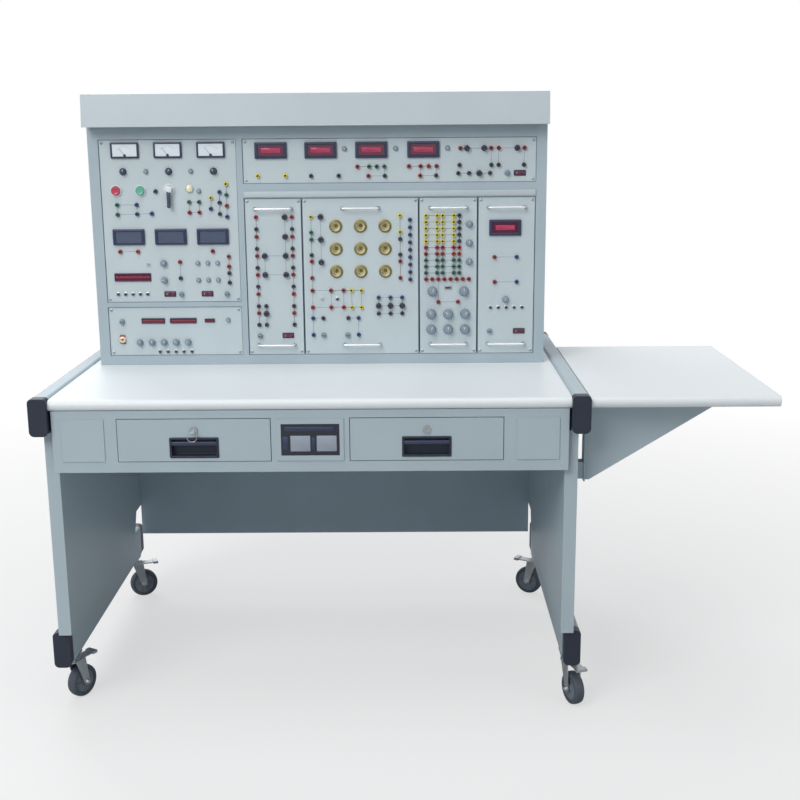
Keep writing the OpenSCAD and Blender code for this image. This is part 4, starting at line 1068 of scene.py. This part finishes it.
# to the camera the floor turns white with distance: share of white, and where it ends
GLOW_NEAR, GLOW_FAR, GLOW_LEAST = 0.9, 3.2, 0.6
SKY_COLOUR, SKY_STRENGTH = (0.93, 0.97, 1.0, 1.0), 0.24
WHITE = (1.0, 1.0, 1.0, 1.0)


def ray_kind(tree, *kinds):
    """1 for rays of any of these kinds, and 0 for the rest."""
    rays = node(tree, "ShaderNodeLightPath", {}).outputs
    found = rays[kinds[0]]
    for kind in kinds[1:]:
        either = node(tree, "ShaderNodeMath", {0: found, 1: rays[kind]}, operation="MAXIMUM")
        found = either.outputs[0]
    return found


def blended(tree, factor, first, second):
    """Two shaders mixed by a factor."""
    return node(tree, "ShaderNodeMixShader", {0: factor, 1: first, 2: second}).outputs[0]


def background(tree, colour, strength):
    """A light of one colour from all round."""
    inputs = {"Color": colour, "Strength": strength}
    return node(tree, "ShaderNodeBackground", inputs).outputs[0]


floor_mesh = bpy.data.meshes.new("floor")
floor_rim = circle(FLOOR_RADIUS, FLOOR_SIDES, 0)
floor_mesh.from_pydata(floor_rim, [], [tuple(range(FLOOR_SIDES))])
floor = bpy.data.objects.new("floor", floor_mesh)
SCENE.collection.objects.link(floor)

floor_look = bpy.data.materials.new("pale_floor")
floor_look.use_nodes = True
tree = floor_look.node_tree
matt = tree.nodes["Principled BSDF"]
feed(tree, matt, {"Base Color": FLOOR_COLOUR, "Roughness": 0.8, "Specular IOR Level": 0.1})
glow = node(tree, "ShaderNodeEmission", {})
distance = node(tree, "ShaderNodeVectorMath", {0: place_in(tree)}, operation="LENGTH")
share = ranged(tree, distance.outputs["Value"], GLOW_NEAR, GLOW_FAR, GLOW_LEAST, 1.0)
seen = node(tree, "ShaderNodeMath", {0: share, 1: ray_kind(tree, "Is Camera Ray")},
            operation="MULTIPLY")
look = blended(tree, seen.outputs["Value"], matt.outputs[0], glow.outputs[0])
feed(tree, tree.nodes["Material Output"], {"Surface": look})
floor_mesh.materials.append(floor_look)

world = bpy.data.worlds.new("studio")
SCENE.world = world
world.use_nodes = True
tree = world.node_tree
tree.nodes.clear()
seen = ray_kind(tree, "Is Camera Ray", "Is Glossy Ray", "Is Transmission Ray")
sky = background(tree, SKY_COLOUR, SKY_STRENGTH)
look = blended(tree, seen, sky, background(tree, WHITE, 1.0))
node(tree, "ShaderNodeOutputWorld", {"Surface": look})


# Lights and camera

DESK_MIDDLE, CONSOLE_MIDDLE = (0, 0, 0.8), (0, 0.2, 0.8)
# place, what it points at, width and height in metres, watts and colour
LIGHTS = {"key": ((-2.6, -4.2, 4.2), DESK_MIDDLE, 3.0, 3.0, 178, (1.0, 0.99, 0.97)),
          "fill": ((3.4, -3.6, 2.4), DESK_MIDDLE, 3.0, 3.0, 16, (0.97, 0.99, 1.0)),
          "top": ((0.0, -0.6, 4.6), CONSOLE_MIDDLE, 3.5, 2.5, 70, (1.0, 1.0, 1.0)),
          "back": ((-2.2, 3.8, 4.4), CONSOLE_MIDDLE, 3.0, 3.0, 110, (1.0, 1.0, 1.0))}
for name, (place, target, width, height, watts, colour) in LIGHTS.items():
    light = bpy.data.lights.new(name, "AREA")
    light.shape = "RECTANGLE"
    light.size, light.size_y = width, height
    light.energy = watts
    light.color = colour
    lamp = bpy.data.objects.new(name, light)
    lamp.location = place
    lamp.rotation_euler = (Vector(target) - Vector(place)).to_track_quat("-Z", "Y").to_euler()
    SCENE.collection.objects.link(lamp)

# a camera model fitted to the photograph: pixels, mm, radians and metres
FOCAL_PIXELS, IMAGE_PIXELS, SENSOR = 1195.9, 800, 36.0
PITCH, YAW, ROLL = 0.2230, -0.0069, -0.0078
CAMERA_PLACE = (0.00877, -3.02433, 1.36913)
camera_data = bpy.data.cameras.new("camera")
camera_data.sensor_width = SENSOR
camera_data.lens = SENSOR * FOCAL_PIXELS / IMAGE_PIXELS
camera = bpy.data.objects.new("camera", camera_data)
camera.matrix_world = (Matrix.Translation(CAMERA_PLACE) @ Matrix.Rotation(-YAW, 4, "Z")
                       @ Matrix.Rotation(math.pi / 2 - PITCH, 4, "X")
                       @ Matrix.Rotation(ROLL, 4, "Z"))
SCENE.collection.objects.link(camera)
SCENE.camera = camera
SCENE.view_settings.view_transform = "Standard"

bpy.context.view_layer.update()
